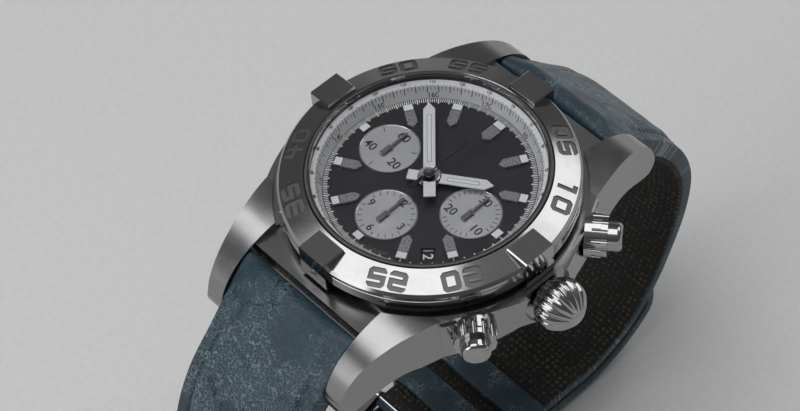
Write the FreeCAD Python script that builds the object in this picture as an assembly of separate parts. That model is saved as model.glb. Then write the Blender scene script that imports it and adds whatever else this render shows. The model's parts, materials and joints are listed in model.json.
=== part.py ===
import FreeCAD, Part
import math
import os

V = FreeCAD.Vector

# ---------------------------------------------------------------------------
# Driving dimensions, in millimetres
# ---------------------------------------------------------------------------

# Head. Heights are measured from the dial plane, radii from the middle of the dial.
CRYSTAL_R = 16.7          # the radii of the head follow from this one
CRYSTAL_BOTTOM = 2.75
CRYSTAL_THICK = 1.6
CRYSTAL_SEAT = 2.3
GASKET_WALL = 0.35
RUNNING_GAP = 0.05        # radial clearance of turning fits
FIT_GAP = 0.05            # clearance of parts that drop into place

RIM_WALL = 0.37           # thin polished rim of the case, round the crystal
RIM_TOP = 3.35
RIM_GAP = 0.13            # rim to bezel
BEZEL_WIDTH = 3.95
BEZEL_TOP_INNER = 3.3
BEZEL_TOP_OUTER = 1.95
BEZEL_BOTTOM = -1.0
NECK_WALL = 1.65
NECK_SHOULDER = 1.6
SEAL_GROOVE = (0.55, 0.0, 0.7)   # depth, bottom and top
TAB_PROUD = 0.55          # past the bezel's flank
TAB_SETBACK = 0.65        # inner end, from the inside of the bezel
TAB_HALF_WIDTH = 2.58
TAB_TOP = 3.6
TAB_DROP = -1.85
TAB_LEG = 1.1
SCREW_R = 0.75
SCREW_SLOT = 0.22
SCREW_DEPTH = 0.8
NUMERAL_INSET = 1.95      # middle of the engraved numerals, from the flank
NUMERAL_SIZE = (2.6, 2.75)
NUMERAL_STROKE = 0.72
NUMERAL_DEPTH = 0.15
NUMERAL_PITCH = 3.0       # from one digit to the next
CLICK_GROOVE = (0.6, 2.05, 0.35)   # inner and outer, from the neck, and depth

BAND_PROUD = 0.7          # case band past the bezel, at 9 o'clock
MOAT_GAP = 0.4            # round the tabs
MOAT_FLOOR = -2.1
CASE_TOP = -1.2
CASE_BOTTOM = -9.5
END_WALL = 0.95           # moat to the case wall that faces the strap
LUG_GAP = 22.0
LUG_ROOT_IN = (4.2, 7.2)  # where the lugs leave the band, inside CASE_R
LUG_TIP_WALL = 3.0
LUG_LENGTH = 5.1          # past the spring bar
BACK_BORE_STEP = 1.2      # wider than the movement bore
BACK_BORE_DEPTH = 1.6
BACK_FLANGE = 1.45
BACK_THICK = 1.6
BACK_DROP = 2.4           # underside of the case back, below the case
BACK_SEAL = (0.2, 0.9, 0.45)       # inner and outer, from the back bore, and depth

DIAL_THICK = 0.4
FLANGE_WIDTH = 1.45
SUBDIAL_R = 4.43
SUBDIAL_EDGE = 2.47       # dial left outside each subdial
SUBDIAL_THICK = 0.15
MARKER_EDGE = 1.05        # dial left outside the markers
MARKER_LENGTH = 4.2
MARKER_WIDTH = 1.5
MARKER_HEIGHT = 0.5
DATE_ANGLE = 134.5        # clockwise from 12
DATE_WINDOW = (2.7, 2.0)  # along the radius, across it

HAND_THICK = 0.22
HOUR_HAND_Z = 0.85
MINUTE_HAND_Z = 1.4
SECONDS_HAND_Z = 1.95
SUB_HAND_Z = 0.38
HOUR_HAND_LENGTH = 9.2
MINUTE_HAND_EDGE = 2.15   # tip to the rim of the dial
SECONDS_HAND_EDGE = 1.75
SUB_HAND_EDGE = 0.73
HOUR_HAND_ANGLE = 56.0    # clockwise from 12
MINUTE_HAND_ANGLE = 313.0
HAND_WIDTH = 1.7
SECONDS_ARBOR_R = 0.3
CANNON_WALL = 0.4
HOUR_PIPE_WALL = 0.35
SUB_ARBOR_R = 0.25
DIAL_HOLE_GAP = 0.15
PIVOT_GAP = 0.03

MOVEMENT_RING_WALL = 1.7
PLATE_TOP = -1.15
PLATE_BOTTOM = -3.4
BRIDGE_TOP = -5.7
BRIDGE_BOTTOM = -7.0
DATE_DISC_TOP = -0.6
DATE_DISC_THICK = 0.35
DATE_DISC_WIDTH = 3.5
ROTOR_TOP = -8.2
ROTOR_BOTTOM = -9.4
ROTOR_GAP = 0.6           # rim to the movement's edge
BEARING_R = 1.0
BARREL_R = 5.2
BARREL_ANGLE = 45.0
BALANCE_R = 2.95
BALANCE_INSET = 5.1       # staff to the movement's edge
BALANCE_ANGLE = 221.0
PILLAR_R = 1.1
PILLAR_INSET = 1.8
PILLAR_ANGLES = (-24.6, 150.5, 285.6)

STEM_Z = -4.4
STEM_R = 0.6
STEM_GAP = 0.3
CROWN_STANDOFF = 0.8      # crown to case band
CROWN_LENGTH = 6.4
CROWN_R = 3.95
CROWN_POCKET_GAP = 0.3
CROWN_FLUTES = 16
CROWN_CAVITY_DEPTH = 3.2
TUBE_WALL = 0.6
TUBE_REACH = 1.7          # tube end, inside the crown
CROWN_SEAL_WALL = 0.5
GUARD_TOP = -2.0
GUARD_BOTTOM = -7.6
GUARD_REACH = 1.0         # past the crown's base
GUARD_TIP_Y = 2.5

PUSHER_Z = -4.3
PUSHER_IN = (1.1, 10.35)  # middle of the collar, inside CASE_R in x and in y
PUSHER_ANGLE = 39.2             # outward from +X, in plan
COLLAR_R = 3.2
COLLAR_HALF = 1.6
COLLAR_FLUTES = 14
PUSHER_TUBE_R = 2.0
PUSHER_CAP_R = 2.1
PUSHER_CAP_END = 3.6            # cap face, from the middle of the collar
PUSHER_STEM_R = 0.7
PUSHER_BORE_FLOOR = -1.2

SPRING_BAR_Z = -5.0
SPRING_BAR_R = 0.9
SPRING_BAR_TIP_R = 0.5
SPRING_BAR_SEAT = 1.4           # how far each tip enters its lug

# Strap loop. The watch stands dial up on the buckled strap, which rests on z = 0.
STRAP_SIDE_GAP = 0.1      # each side, between the lugs
STRAP_TAPER = 1.8         # narrower along the underside
STRAP_LUG_THICK = 4.6     # padded, at the lugs
STRAP_END_THICK = 2.5     # along the underside
STRAP_THIN_FROM = 50.0    # along the strap, where it has reached its thin end
STRAP_END_GAP = 0.2       # lug end to the case wall
LINING_THICK = 0.7
GLUE_GAP = 0.05           # between the leather and its lining
LOOP_DROP = 61.0          # dial plane down to the outside of the buckle half
LOOP_SHAPE = [            # (beyond the spring bar, share of the drop)
    (1.6, 0.0557), (7.6, 0.1656), (12.8, 0.2590), (16.2, 0.3607), (17.9, 0.4721),
    (17.1, 0.5984), (14.5, 0.7148), (10.7, 0.8295), (4.7, 0.9377),
]
FLAT_SETBACK = 4.4        # end of the straight underside, inside the spring bar
KEEPER_WALL = 1.1
KEEPER_WIDTH = 5.0
LAYER_GAP = 0.1           # between one strap half and the next
TAIL_WRAP = 20.0          # how far the tail goes round the corner
FIXED_KEEPER_Y = 0.0
FREE_KEEPER_Y = 7.6
FREE_KEEPER_GAP = 0.3     # the free keeper slides, so it has more room

# Buckle, at the end of the 12 o'clock half
BUCKLE_BAR_Y = -6.0
BUCKLE_REACH = 9.3        # bar to front rail
BUCKLE_RAIL = 2.2         # height of the front rail
BUCKLE_ARM = 1.7
BUCKLE_SIDE_GAP = 0.35
BAR_R = 0.7
TANG_R = 0.6
TANG_HOLE_GAP = 0.35
TANG_HOLE = 5.2           # hole the tang is in, from the bar
HOLE_PITCH = 7.0

# ---------------------------------------------------------------------------
# Sizes and levels worked out from the driving dimensions
# ---------------------------------------------------------------------------

RIM_R = CRYSTAL_R + GASKET_WALL + RIM_WALL
BEZEL_INNER_R = RIM_R + RIM_GAP
BEZEL_R = BEZEL_INNER_R + BEZEL_WIDTH
TAB_R = BEZEL_R + TAB_PROUD
TAB_INNER_R = BEZEL_INNER_R + TAB_SETBACK
MOAT_R = TAB_R + MOAT_GAP
CASE_R = BEZEL_R + BAND_PROUD
MOVEMENT_BORE_R = CRYSTAL_R + FIT_GAP
NECK_R = MOVEMENT_BORE_R + NECK_WALL
BACK_BORE_R = MOVEMENT_BORE_R + BACK_BORE_STEP
BACK_R = BACK_BORE_R + BACK_FLANGE
HEAD_BOTTOM = CASE_BOTTOM - BACK_DROP
MOVEMENT_RING_R = MOVEMENT_BORE_R - FIT_GAP
MOVEMENT_R = MOVEMENT_RING_R - MOVEMENT_RING_WALL
DIAL_R = MOVEMENT_RING_R - 2 * FIT_GAP
CRYSTAL_TOP = CRYSTAL_BOTTOM + CRYSTAL_THICK

DIAL_VISIBLE_R = CRYSTAL_R - FLANGE_WIDTH
SUBDIAL_OFFSET = DIAL_VISIBLE_R - SUBDIAL_EDGE - SUBDIAL_R
MARKER_OUTER_R = DIAL_VISIBLE_R - MARKER_EDGE
MARKER_INNER_R = MARKER_OUTER_R - MARKER_LENGTH
MINUTE_HAND_LENGTH = DIAL_VISIBLE_R - MINUTE_HAND_EDGE
SECONDS_HAND_LENGTH = DIAL_VISIBLE_R - SECONDS_HAND_EDGE
SUB_HAND_LENGTH = SUBDIAL_R - SUB_HAND_EDGE
CANNON_BORE_R = SECONDS_ARBOR_R + RUNNING_GAP
CANNON_R = CANNON_BORE_R + CANNON_WALL
HOUR_PIPE_BORE_R = CANNON_R + RUNNING_GAP
HOUR_PIPE_R = HOUR_PIPE_BORE_R + HOUR_PIPE_WALL
DATE_DISC_R = MOVEMENT_R - 2 * FIT_GAP
DATE_DISC_INNER_R = DATE_DISC_R - DATE_DISC_WIDTH
DATE_R = DATE_DISC_INNER_R + DATE_WINDOW[0] / 2 + 0.3
ROTOR_R = MOVEMENT_R - ROTOR_GAP


def polar(radius, degrees):
    angle = math.radians(degrees)
    return (radius * math.cos(angle), radius * math.sin(angle))


BARREL_PLACE = polar(MOVEMENT_R - ROTOR_GAP - BARREL_R, BARREL_ANGLE)
BALANCE_PLACE = polar(MOVEMENT_R - BALANCE_INSET, BALANCE_ANGLE)
PILLARS = [polar(MOVEMENT_R - PILLAR_INSET, angle) for angle in PILLAR_ANGLES]

TUBE_BORE_R = STEM_R + STEM_GAP
TUBE_R = TUBE_BORE_R + TUBE_WALL
CROWN_CAVITY_R = TUBE_R + CROWN_SEAL_WALL
CROWN_BASE = CASE_R + CROWN_STANDOFF
TUBE_END = CROWN_BASE + TUBE_REACH
GUARD_TIP_X = CROWN_BASE + GUARD_REACH
PUSHER_CENTRE = (CASE_R - PUSHER_IN[0], CASE_R - PUSHER_IN[1])

CASE_END_Y = MOAT_R + END_WALL
SPRING_BAR_Y = CASE_END_Y + STRAP_LUG_THICK / 2 + STRAP_END_GAP
LUG_REACH = SPRING_BAR_Y + LUG_LENGTH
LUG_ROOT_X = CASE_R - LUG_ROOT_IN[0]
LUG_ROOT_Y = CASE_R - LUG_ROOT_IN[1]
LUG_TIP_X = LUG_GAP / 2 + LUG_TIP_WALL
GUARD_FRONT_X = LUG_ROOT_X + 0.3
GUARD_FRONT_Y = LUG_ROOT_Y + 0.5

STRAP_WIDTH = LUG_GAP - 2 * STRAP_SIDE_GAP
STRAP_END_WIDTH = STRAP_WIDTH - STRAP_TAPER
FLAT_HALF = SPRING_BAR_Y - FLAT_SETBACK
STRAP_HOLE_R = TANG_R + TANG_HOLE_GAP
BUCKLE_INNER = STRAP_END_WIDTH / 2 + BUCKLE_SIDE_GAP
TAIL_LEVEL = KEEPER_WALL + LAYER_GAP                    # outside of the tail
SHORT_LEVEL = TAIL_LEVEL + STRAP_END_THICK + LAYER_GAP  # outside of the buckle half
LONG_LEVEL = BUCKLE_RAIL + LAYER_GAP                    # long half over the front rail
DIAL_Z = LOOP_DROP + SHORT_LEVEL
LONG_DROP = DIAL_Z - LONG_LEVEL
KEEPER_TOP = SHORT_LEVEL + STRAP_END_THICK + LAYER_GAP
BAR_Z = SHORT_LEVEL + STRAP_END_THICK / 2

os.makedirs("parts", exist_ok=True)


def save(name, shape):
    shape.exportStep("parts/" + name + ".step")
    print(name, "solids", len(shape.Solids), "valid", shape.isValid(), "volume", round(shape.Volume, 2))


# ---------------------------------------------------------------------------
# Helpers. Head pieces are drawn with z = 0 on the dial plane and then lifted.
# ---------------------------------------------------------------------------

def lift(shape):
    return shape.translated(V(0, 0, DIAL_Z))


def face(points):
    return Part.Face(Part.makePolygon([V(*p) for p in points + points[:1]]))


def turned(profile, centre=(0, 0)):
    """Solid of revolution about a vertical axis from (radius, height) points."""
    ring = face([(r, 0, z) for r, z in profile])
    return ring.revolve(V(0, 0, 0), V(0, 0, 1), 360).translated(V(centre[0], centre[1], 0))


def disc(radius, low, high, centre=(0, 0)):
    return Part.makeCylinder(radius, high - low, V(centre[0], centre[1], low))


def ring(inner, outer, low, high, centre=(0, 0)):
    return disc(outer, low, high, centre).cut(disc(inner, low - 1, high + 1, centre))


def box(low, high):
    size = [b - a for a, b in zip(low, high)]
    return Part.makeBox(size[0], size[1], size[2], V(*low))


def clock(shape, degrees):
    """Turn a piece clockwise about the dial centre, as seen from above."""
    return shape.rotated(V(0, 0, 0), V(0, 0, 1), -degrees)


def plate(outline, low, high):
    return face([(x, y, low) for x, y in outline]).extrude(V(0, 0, high - low))


def clean(shape):
    """One solid for each lump, with seams between coplanar faces removed."""
    solids = [s for s in shape.removeSplitter().Solids]
    if len(solids) == 1:
        return solids[0]
    return Part.makeCompound(solids)


def along_x(radius, start, end, y=0, z=0):
    return Part.makeCylinder(radius, end - start, V(start, y, z), V(1, 0, 0))


# ---------------------------------------------------------------------------
# Pusher axis
# ---------------------------------------------------------------------------

def pusher_place(t, side):
    """Point on a pusher's axis, t mm outwards from the middle of its collar."""
    angle = math.radians(PUSHER_ANGLE)
    x = PUSHER_CENTRE[0] + t * math.cos(angle)
    y = PUSHER_CENTRE[1] + t * math.sin(angle)
    return V(x, side * y, PUSHER_Z)


def pusher_rod(radius, start, end, side):
    base = pusher_place(start, side)
    return Part.makeCylinder(radius, end - start, base, pusher_place(end, side) - base)


# ---------------------------------------------------------------------------
# Middle case
# ---------------------------------------------------------------------------

def case_outline():
    """Plan of the band and lugs, symmetric about both axes."""
    band = Part.Arc(V(LUG_ROOT_X, -LUG_ROOT_Y, 0), V(CASE_R, 0, 0), V(LUG_ROOT_X, LUG_ROOT_Y, 0))
    lug = Part.BSplineCurve()
    lug.interpolate([
        V(LUG_ROOT_X, LUG_ROOT_Y, 0),
        V(LUG_ROOT_X - 1.9, LUG_ROOT_Y + 7.0, 0),
        V(LUG_TIP_X + 1.1, LUG_REACH - 5.2, 0),
        V(LUG_TIP_X, LUG_REACH, 0),
    ])
    right = [lug.toShape(), band.toShape()]
    lower = lug.toShape().mirror(V(0, 0, 0), V(0, 1, 0))
    left = [e.mirror(V(0, 0, 0), V(1, 0, 0)) for e in right + [lower]]
    top = Part.makeLine(V(LUG_TIP_X, LUG_REACH, 0), V(-LUG_TIP_X, LUG_REACH, 0))
    bottom = Part.makeLine(V(LUG_TIP_X, -LUG_REACH, 0), V(-LUG_TIP_X, -LUG_REACH, 0))
    edges = Part.__sortEdges__(right + [lower, bottom, top] + left)
    return Part.Face(Part.Wire(edges))


def case_side():
    """Profile of the band and lugs seen from 3 o'clock, extruded across the case."""
    upper = Part.BSplineCurve()
    upper.interpolate([
        V(0, LUG_ROOT_Y, CASE_TOP),
        V(0, LUG_REACH - 10.5, CASE_TOP - 0.15),
        V(0, LUG_REACH - 7.0, CASE_TOP - 1.1),
        V(0, LUG_REACH - 4.0, CASE_TOP - 2.7),
        V(0, LUG_REACH - 1.4, CASE_TOP - 5.4),
        V(0, LUG_REACH - 0.2, HEAD_BOTTOM + 2.4),
    ])
    flat = LUG_REACH - 12.5
    lower = Part.BSplineCurve()
    lower.interpolate([
        V(0, LUG_REACH - 1.6, HEAD_BOTTOM - 0.5),
        V(0, LUG_REACH - 3.4, HEAD_BOTTOM + 0.1),
        V(0, LUG_REACH - 6.0, HEAD_BOTTOM + 1.4),
        V(0, LUG_REACH - 9.0, CASE_BOTTOM + 0.1),
        V(0, flat, CASE_BOTTOM),
    ])
    tip = Part.Arc(
        V(0, LUG_REACH - 0.2, HEAD_BOTTOM + 2.4),
        V(0, LUG_REACH - 0.35, HEAD_BOTTOM + 0.3),
        V(0, LUG_REACH - 1.6, HEAD_BOTTOM - 0.5),
    )
    half = [upper.toShape(), tip.toShape(), lower.toShape()]
    other = [e.mirror(V(0, 0, 0), V(0, 1, 0)) for e in half]
    top = Part.makeLine(V(0, -LUG_ROOT_Y, CASE_TOP), V(0, LUG_ROOT_Y, CASE_TOP))
    bottom = Part.makeLine(V(0, -flat, CASE_BOTTOM), V(0, flat, CASE_BOTTOM))
    wire = Part.Wire(Part.__sortEdges__(half + other + [top, bottom]))
    return Part.Face(wire).extrude(V(60, 0, 0)).translated(V(-30, 0, 0))


def crown_guards():
    """Raised shoulder on the 3 o'clock side, from one pusher to the other."""
    outline = [
        (LUG_ROOT_X - 2.0, GUARD_FRONT_Y - 0.6),
        (GUARD_FRONT_X, GUARD_FRONT_Y),
        (GUARD_TIP_X, GUARD_TIP_Y),
        (GUARD_TIP_X, -GUARD_TIP_Y),
        (GUARD_FRONT_X, -GUARD_FRONT_Y),
        (LUG_ROOT_X - 2.0, -GUARD_FRONT_Y + 0.6),
    ]
    shoulder = plate(outline, GUARD_BOTTOM, GUARD_TOP)
    fronts = []
    for edge in shoulder.Edges:
        a, b = edge.Vertexes[0].Point, edge.Vertexes[-1].Point
        upright = abs(a.x - b.x) < 1e-6 and abs(a.y - b.y) < 1e-6
        if upright and abs(a.x - GUARD_FRONT_X) < 1e-6:
            fronts.append(edge)
    return shoulder.makeFillet(1.1, fronts)


def back_seal(start, end):
    """Seat of the case back's gasket, between two heights above the case bottom."""
    inner, outer = BACK_BORE_R + BACK_SEAL[0], BACK_BORE_R + BACK_SEAL[1]
    return ring(inner, outer, CASE_BOTTOM + start, CASE_BOTTOM + end)


def mid_case():
    blank = case_outline().extrude(V(0, 0, 30)).translated(V(0, 0, -20))
    body = case_side().common(blank)
    body = body.cut(ring(NECK_R + 2.2, MOAT_R, MOAT_FLOOR, 5))
    rise = LUG_ROOT_Y + 4.0
    for side in (1, -1):
        low_y, high_y = sorted((side * CASE_END_Y, side * 40))
        body = body.cut(box((-LUG_GAP / 2, low_y, -20), (LUG_GAP / 2, high_y, 5)))
        low_y, high_y = sorted((side * rise, side * 40))
        body = body.cut(box((-LUG_GAP / 2, low_y, MOAT_FLOOR - 0.5), (LUG_GAP / 2, high_y, 5)))
    body = body.fuse(crown_guards().cut(disc(CASE_R - 2.2, -20, 5)))
    # The neck that carries the bezel and holds the crystal
    body = body.fuse(disc(NECK_R, CASE_TOP - 0.5, NECK_SHOULDER))
    body = body.fuse(disc(RIM_R, NECK_SHOULDER - 0.1, RIM_TOP))
    body = body.cut(disc(MOVEMENT_BORE_R, -20, CRYSTAL_SEAT))
    body = body.cut(disc(CRYSTAL_R + GASKET_WALL, CRYSTAL_SEAT, 6))
    body = body.cut(disc(BACK_BORE_R, -20, CASE_BOTTOM + BACK_BORE_DEPTH))
    body = body.cut(back_seal(-1, BACK_SEAL[2]))
    # Grooves for the bezel's gasket and click spring
    depth, low, high = SEAL_GROOVE
    body = body.cut(ring(NECK_R - depth, NECK_R + 1, low, high))
    inner, outer, depth = CLICK_GROOVE
    body = body.cut(ring(NECK_R + inner, NECK_R + outer, CASE_TOP - depth, CASE_TOP + 1))
    # Crown and pusher bores
    body = body.cut(along_x(TUBE_R, 10, 30, 0, STEM_Z))
    body = body.cut(along_x(CROWN_R + CROWN_POCKET_GAP, CROWN_BASE - 0.25, 40, 0, STEM_Z))
    for side in (1, -1):
        body = body.cut(pusher_rod(PUSHER_TUBE_R, -9, 0, side))
        body = body.cut(pusher_rod(COLLAR_R, -COLLAR_HALF, 8, side))
        for end in (1, -1):
            start = end * LUG_GAP / 2
            seat = Part.makeCylinder(
                SPRING_BAR_TIP_R + FIT_GAP,
                SPRING_BAR_SEAT + FIT_GAP + 1.0,
                V(start - end, side * SPRING_BAR_Y, SPRING_BAR_Z),
                V(end, 0, 0),
            )
            body = body.cut(seat)
    return clean(body)


# ---------------------------------------------------------------------------
# Case back, bezel, crystal and their seals
# ---------------------------------------------------------------------------

def case_back():
    flange_top = CASE_BOTTOM
    spigot_r = BACK_BORE_R
    floor = HEAD_BOTTOM + BACK_THICK
    body = turned([
        (0, HEAD_BOTTOM),
        (BACK_R - 1.2, HEAD_BOTTOM),
        (BACK_R, HEAD_BOTTOM + 0.8),
        (BACK_R, flange_top),
        (spigot_r, flange_top),
        (spigot_r, flange_top + BACK_BORE_DEPTH - 0.3),
        (spigot_r - 1.3, flange_top + BACK_BORE_DEPTH - 0.3),
        (spigot_r - 1.3, floor),
        (0, floor),
    ])
    notch = box((BACK_R - 1.1, -1.2, HEAD_BOTTOM - 1), (BACK_R + 1, 1.2, HEAD_BOTTOM + 0.7))
    for i in range(6):
        body = body.cut(clock(notch, 30 + 60 * i))
    return clean(body)


def tab_shape():
    """One rider tab at 12 o'clock, hugging the top and flank of the bezel."""
    profile = [
        (0, TAB_INNER_R, TAB_TOP),
        (0, TAB_R, TAB_TOP - 0.15),
        (0, TAB_R, TAB_DROP),
        (0, TAB_R - TAB_LEG, TAB_DROP),
        (0, TAB_R - TAB_LEG, BEZEL_BOTTOM + 0.4),
        (0, TAB_R - TAB_LEG, BEZEL_TOP_OUTER - 0.5),
        (0, TAB_INNER_R, BEZEL_TOP_INNER - 0.9),
    ]
    body = face(profile).extrude(V(2 * TAB_HALF_WIDTH, 0, 0)).translated(V(-TAB_HALF_WIDTH, 0, 0))
    long_edges = []
    for edge in body.Edges:
        ends = [v.Point for v in edge.Vertexes]
        top = all(p.z > TAB_TOP - 0.2 for p in ends)
        if top and abs(ends[0].y - ends[1].y) > 0.5:
            long_edges.append(edge)
    return body.makeChamfer(0.18, long_edges)


def screw_spots():
    """(clock angle, outer radius, height) of the twelve flank screws."""
    spots = []
    for i in range(12):
        if i % 3 == 0:
            spots.append((30 * i, TAB_R, -0.2))
        else:
            spots.append((30 * i, BEZEL_R, 0.0))
    return spots


def screw_hole(spot):
    angle, radius, height = spot
    hole = Part.makeCylinder(SCREW_R, SCREW_DEPTH + 0.2, V(0, radius - SCREW_DEPTH, height), V(0, 1, 0))
    return clock(hole, angle)


def screw(spot):
    angle, radius, height = spot
    head = Part.makeCylinder(SCREW_R, SCREW_DEPTH + 0.05, V(0, radius - SCREW_DEPTH, height), V(0, 1, 0))
    slot = box((-2, radius - 0.2, height - SCREW_SLOT / 2), (2, radius + 1, height + SCREW_SLOT / 2))
    tilt = slot.rotated(V(0, radius, height), V(0, 1, 0), 25 + angle)
    return clock(head.cut(tilt), angle)


def digit(figure, centre_x):
    """One block figure on bars, drawn at 12 o'clock with its top outwards."""
    width, height = NUMERAL_SIZE
    stroke = NUMERAL_STROKE
    right, top = width / 2, height / 2
    mid = stroke / 2
    bars = {
        "top": (-right, top - stroke, right, top),
        "middle": (-right, -mid, right, mid),
        "bottom": (-right, -top, right, -top + stroke),
        "upper_left": (-right, 0, -right + stroke, top),
        "upper_right": (right - stroke, 0, right, top),
        "lower_left": (-right, -top, -right + stroke, 0),
        "lower_right": (right - stroke, -top, right, 0),
        "stem": (-mid, -top, mid, top),
        "flag": (-mid - 0.6, top - stroke, mid, top),
        "post": (right - 1.7 * stroke, -top, right - 0.7 * stroke, top),
    }
    figures = {
        "0": ("top", "bottom", "upper_left", "upper_right", "lower_left", "lower_right"),
        "1": ("stem", "flag"),
        "2": ("top", "upper_right", "middle", "lower_left", "bottom"),
        "3": ("top", "upper_right", "middle", "lower_right", "bottom"),
        "4": ("upper_left", "middle", "post"),
        "5": ("top", "upper_left", "middle", "lower_right", "bottom"),
    }
    solid = None
    for name in figures[figure]:
        x0, y0, x1, y1 = bars[name]
        bar = box((x0, y0, 0), (x1, y1, 6))
        solid = bar if solid is None else solid.fuse(bar)
    cut = 0.42
    eight = [(-right + cut, -top), (right - cut, -top), (right, -top + cut), (right, top - cut),
             (right - cut, top), (-right + cut, top), (-right, top - cut), (-right, -top + cut)]
    solid = solid.common(plate(eight, 0, 6))
    return solid.translated(V(centre_x, BEZEL_R - NUMERAL_INSET, 0))


def bezel_numerals():
    """Cutter for the minute numerals, as deep as NUMERAL_DEPTH below the sloping top."""
    slope = (BEZEL_TOP_INNER - BEZEL_TOP_OUTER) / (BEZEL_R - BEZEL_INNER_R)
    low = BEZEL_TOP_INNER - NUMERAL_DEPTH
    shell = turned([
        (BEZEL_INNER_R, low),
        (BEZEL_R, low - slope * (BEZEL_R - BEZEL_INNER_R)),
        (BEZEL_R, BEZEL_TOP_INNER + 1),
        (BEZEL_INNER_R, BEZEL_TOP_INNER + 1),
    ])
    figures = []
    for minutes in (5, 10, 20, 25, 35, 40, 50, 55):
        tens, units = divmod(minutes, 10)
        for value, side in ((tens, -1), (units, 1)):
            figures.append(clock(digit(str(value), side * NUMERAL_PITCH / 2), 6 * minutes))
    return shell.common(Part.makeCompound(figures))


def bezel_parts():
    slope = (BEZEL_TOP_INNER - BEZEL_TOP_OUTER) / (BEZEL_R - BEZEL_INNER_R)
    edge_r = BEZEL_R - 0.35
    body = turned([
        (BEZEL_INNER_R, NECK_SHOULDER + 0.3),
        (BEZEL_INNER_R, BEZEL_TOP_INNER - 0.12),
        (BEZEL_INNER_R + 0.12, BEZEL_TOP_INNER),
        (edge_r, BEZEL_TOP_INNER - slope * (edge_r - BEZEL_INNER_R)),
        (BEZEL_R, BEZEL_TOP_OUTER - 0.35),
        (BEZEL_R, 1.05),
        (BEZEL_R - 0.14, 0.98),
        (BEZEL_R - 0.14, 0.90),
        (BEZEL_R, 0.83),
        (BEZEL_R, BEZEL_BOTTOM + 0.3),
        (BEZEL_R - 0.3, BEZEL_BOTTOM),
        (NECK_R + RUNNING_GAP, BEZEL_BOTTOM),
        (NECK_R + RUNNING_GAP, NECK_SHOULDER + 0.3),
    ])
    tabs = [clock(tab_shape(), 90 * i) for i in range(4)]
    spots = screw_spots()
    holes = [screw_hole(s) for s in spots]
    for tab in tabs:
        body = body.cut(tab)
    for hole in holes:
        body = body.cut(hole)
    cut_tabs = []
    for i, tab in enumerate(tabs):
        cut_tabs.append(tab.cut(holes[3 * i]))
    screws = [screw(s) for s in spots]
    body = body.cut(bezel_numerals())
    return clean(body), Part.makeCompound(cut_tabs), Part.makeCompound(screws)


def click_spring():
    """Flat ring spring in its groove, with three short fingers under the bezel."""
    inner = NECK_R + CLICK_GROOVE[0] + FIT_GAP
    outer = NECK_R + CLICK_GROOVE[1] - FIT_GAP
    low = CASE_TOP - CLICK_GROOVE[2]
    body = ring(inner, outer, low, low + 0.2)
    finger = box((inner + 0.15, 0, low + 0.1), (outer - 0.2, 2.5, CASE_TOP + 0.1))
    for i in range(3):
        body = body.fuse(clock(finger, 120 * i + 15))
    return clean(body)


def bezel_gasket():
    depth, low, high = SEAL_GROOVE
    return ring(NECK_R - depth, NECK_R, low + FIT_GAP, high - FIT_GAP)


def crystal_gasket():
    low = CRYSTAL_SEAT + 3 * FIT_GAP
    return ring(CRYSTAL_R, CRYSTAL_R + GASKET_WALL, low, low + 0.75)


def crystal():
    bevel = 0.35
    return turned([
        (0, CRYSTAL_BOTTOM),
        (CRYSTAL_R, CRYSTAL_BOTTOM),
        (CRYSTAL_R, CRYSTAL_TOP - bevel),
        (CRYSTAL_R - bevel, CRYSTAL_TOP),
        (0, CRYSTAL_TOP),
    ])


def flange_ring():
    """Sloped inner ring between the dial and the crystal."""
    outer = MOVEMENT_RING_R
    return turned([
        (DIAL_VISIBLE_R, 0),
        (DIAL_VISIBLE_R + 0.75, 1.9),
        (DIAL_VISIBLE_R + 0.82, 2.0),
        (outer, CRYSTAL_SEAT + 0.15),
        (outer, 0),
    ])


# ---------------------------------------------------------------------------
# Dial
# ---------------------------------------------------------------------------

SUBDIALS = [(-SUBDIAL_OFFSET, 0), (0, -SUBDIAL_OFFSET), (SUBDIAL_OFFSET, 0)]


def date_window(low, high):
    half_r, half_w = DATE_WINDOW[0] / 2, DATE_WINDOW[1] / 2
    return clock(box((-half_w, DATE_R - half_r, low), (half_w, DATE_R + half_r, high)), DATE_ANGLE)


def dial():
    body = disc(DIAL_R, -DIAL_THICK, 0)
    body = body.cut(disc(HOUR_PIPE_R + DIAL_HOLE_GAP, -2, 1))
    for place in SUBDIALS:
        body = body.cut(disc(SUB_ARBOR_R + DIAL_HOLE_GAP, -2, 1, place))
    return clean(body.cut(date_window(-2, 1)))


def subdials():
    pieces = []
    for place in SUBDIALS:
        pieces.append(turned([
            (SUB_ARBOR_R + DIAL_HOLE_GAP, 0),
            (SUBDIAL_R, 0),
            (SUBDIAL_R, SUBDIAL_THICK + 0.05),
            (SUBDIAL_R - 0.12, SUBDIAL_THICK + 0.05),
            (SUBDIAL_R - 0.2, SUBDIAL_THICK),
            (SUB_ARBOR_R + DIAL_HOLE_GAP, SUBDIAL_THICK),
        ], place))
    return Part.makeCompound(pieces)


def baton(inner, outer, width):
    """Applied marker at 12 o'clock, square outside and pointed inside."""
    half = width / 2
    outline = [(-half, outer), (half, outer), (half, inner + 0.55), (0, inner), (-half, inner + 0.55)]
    return plate(outline, 0, MARKER_HEIGHT)


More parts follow.
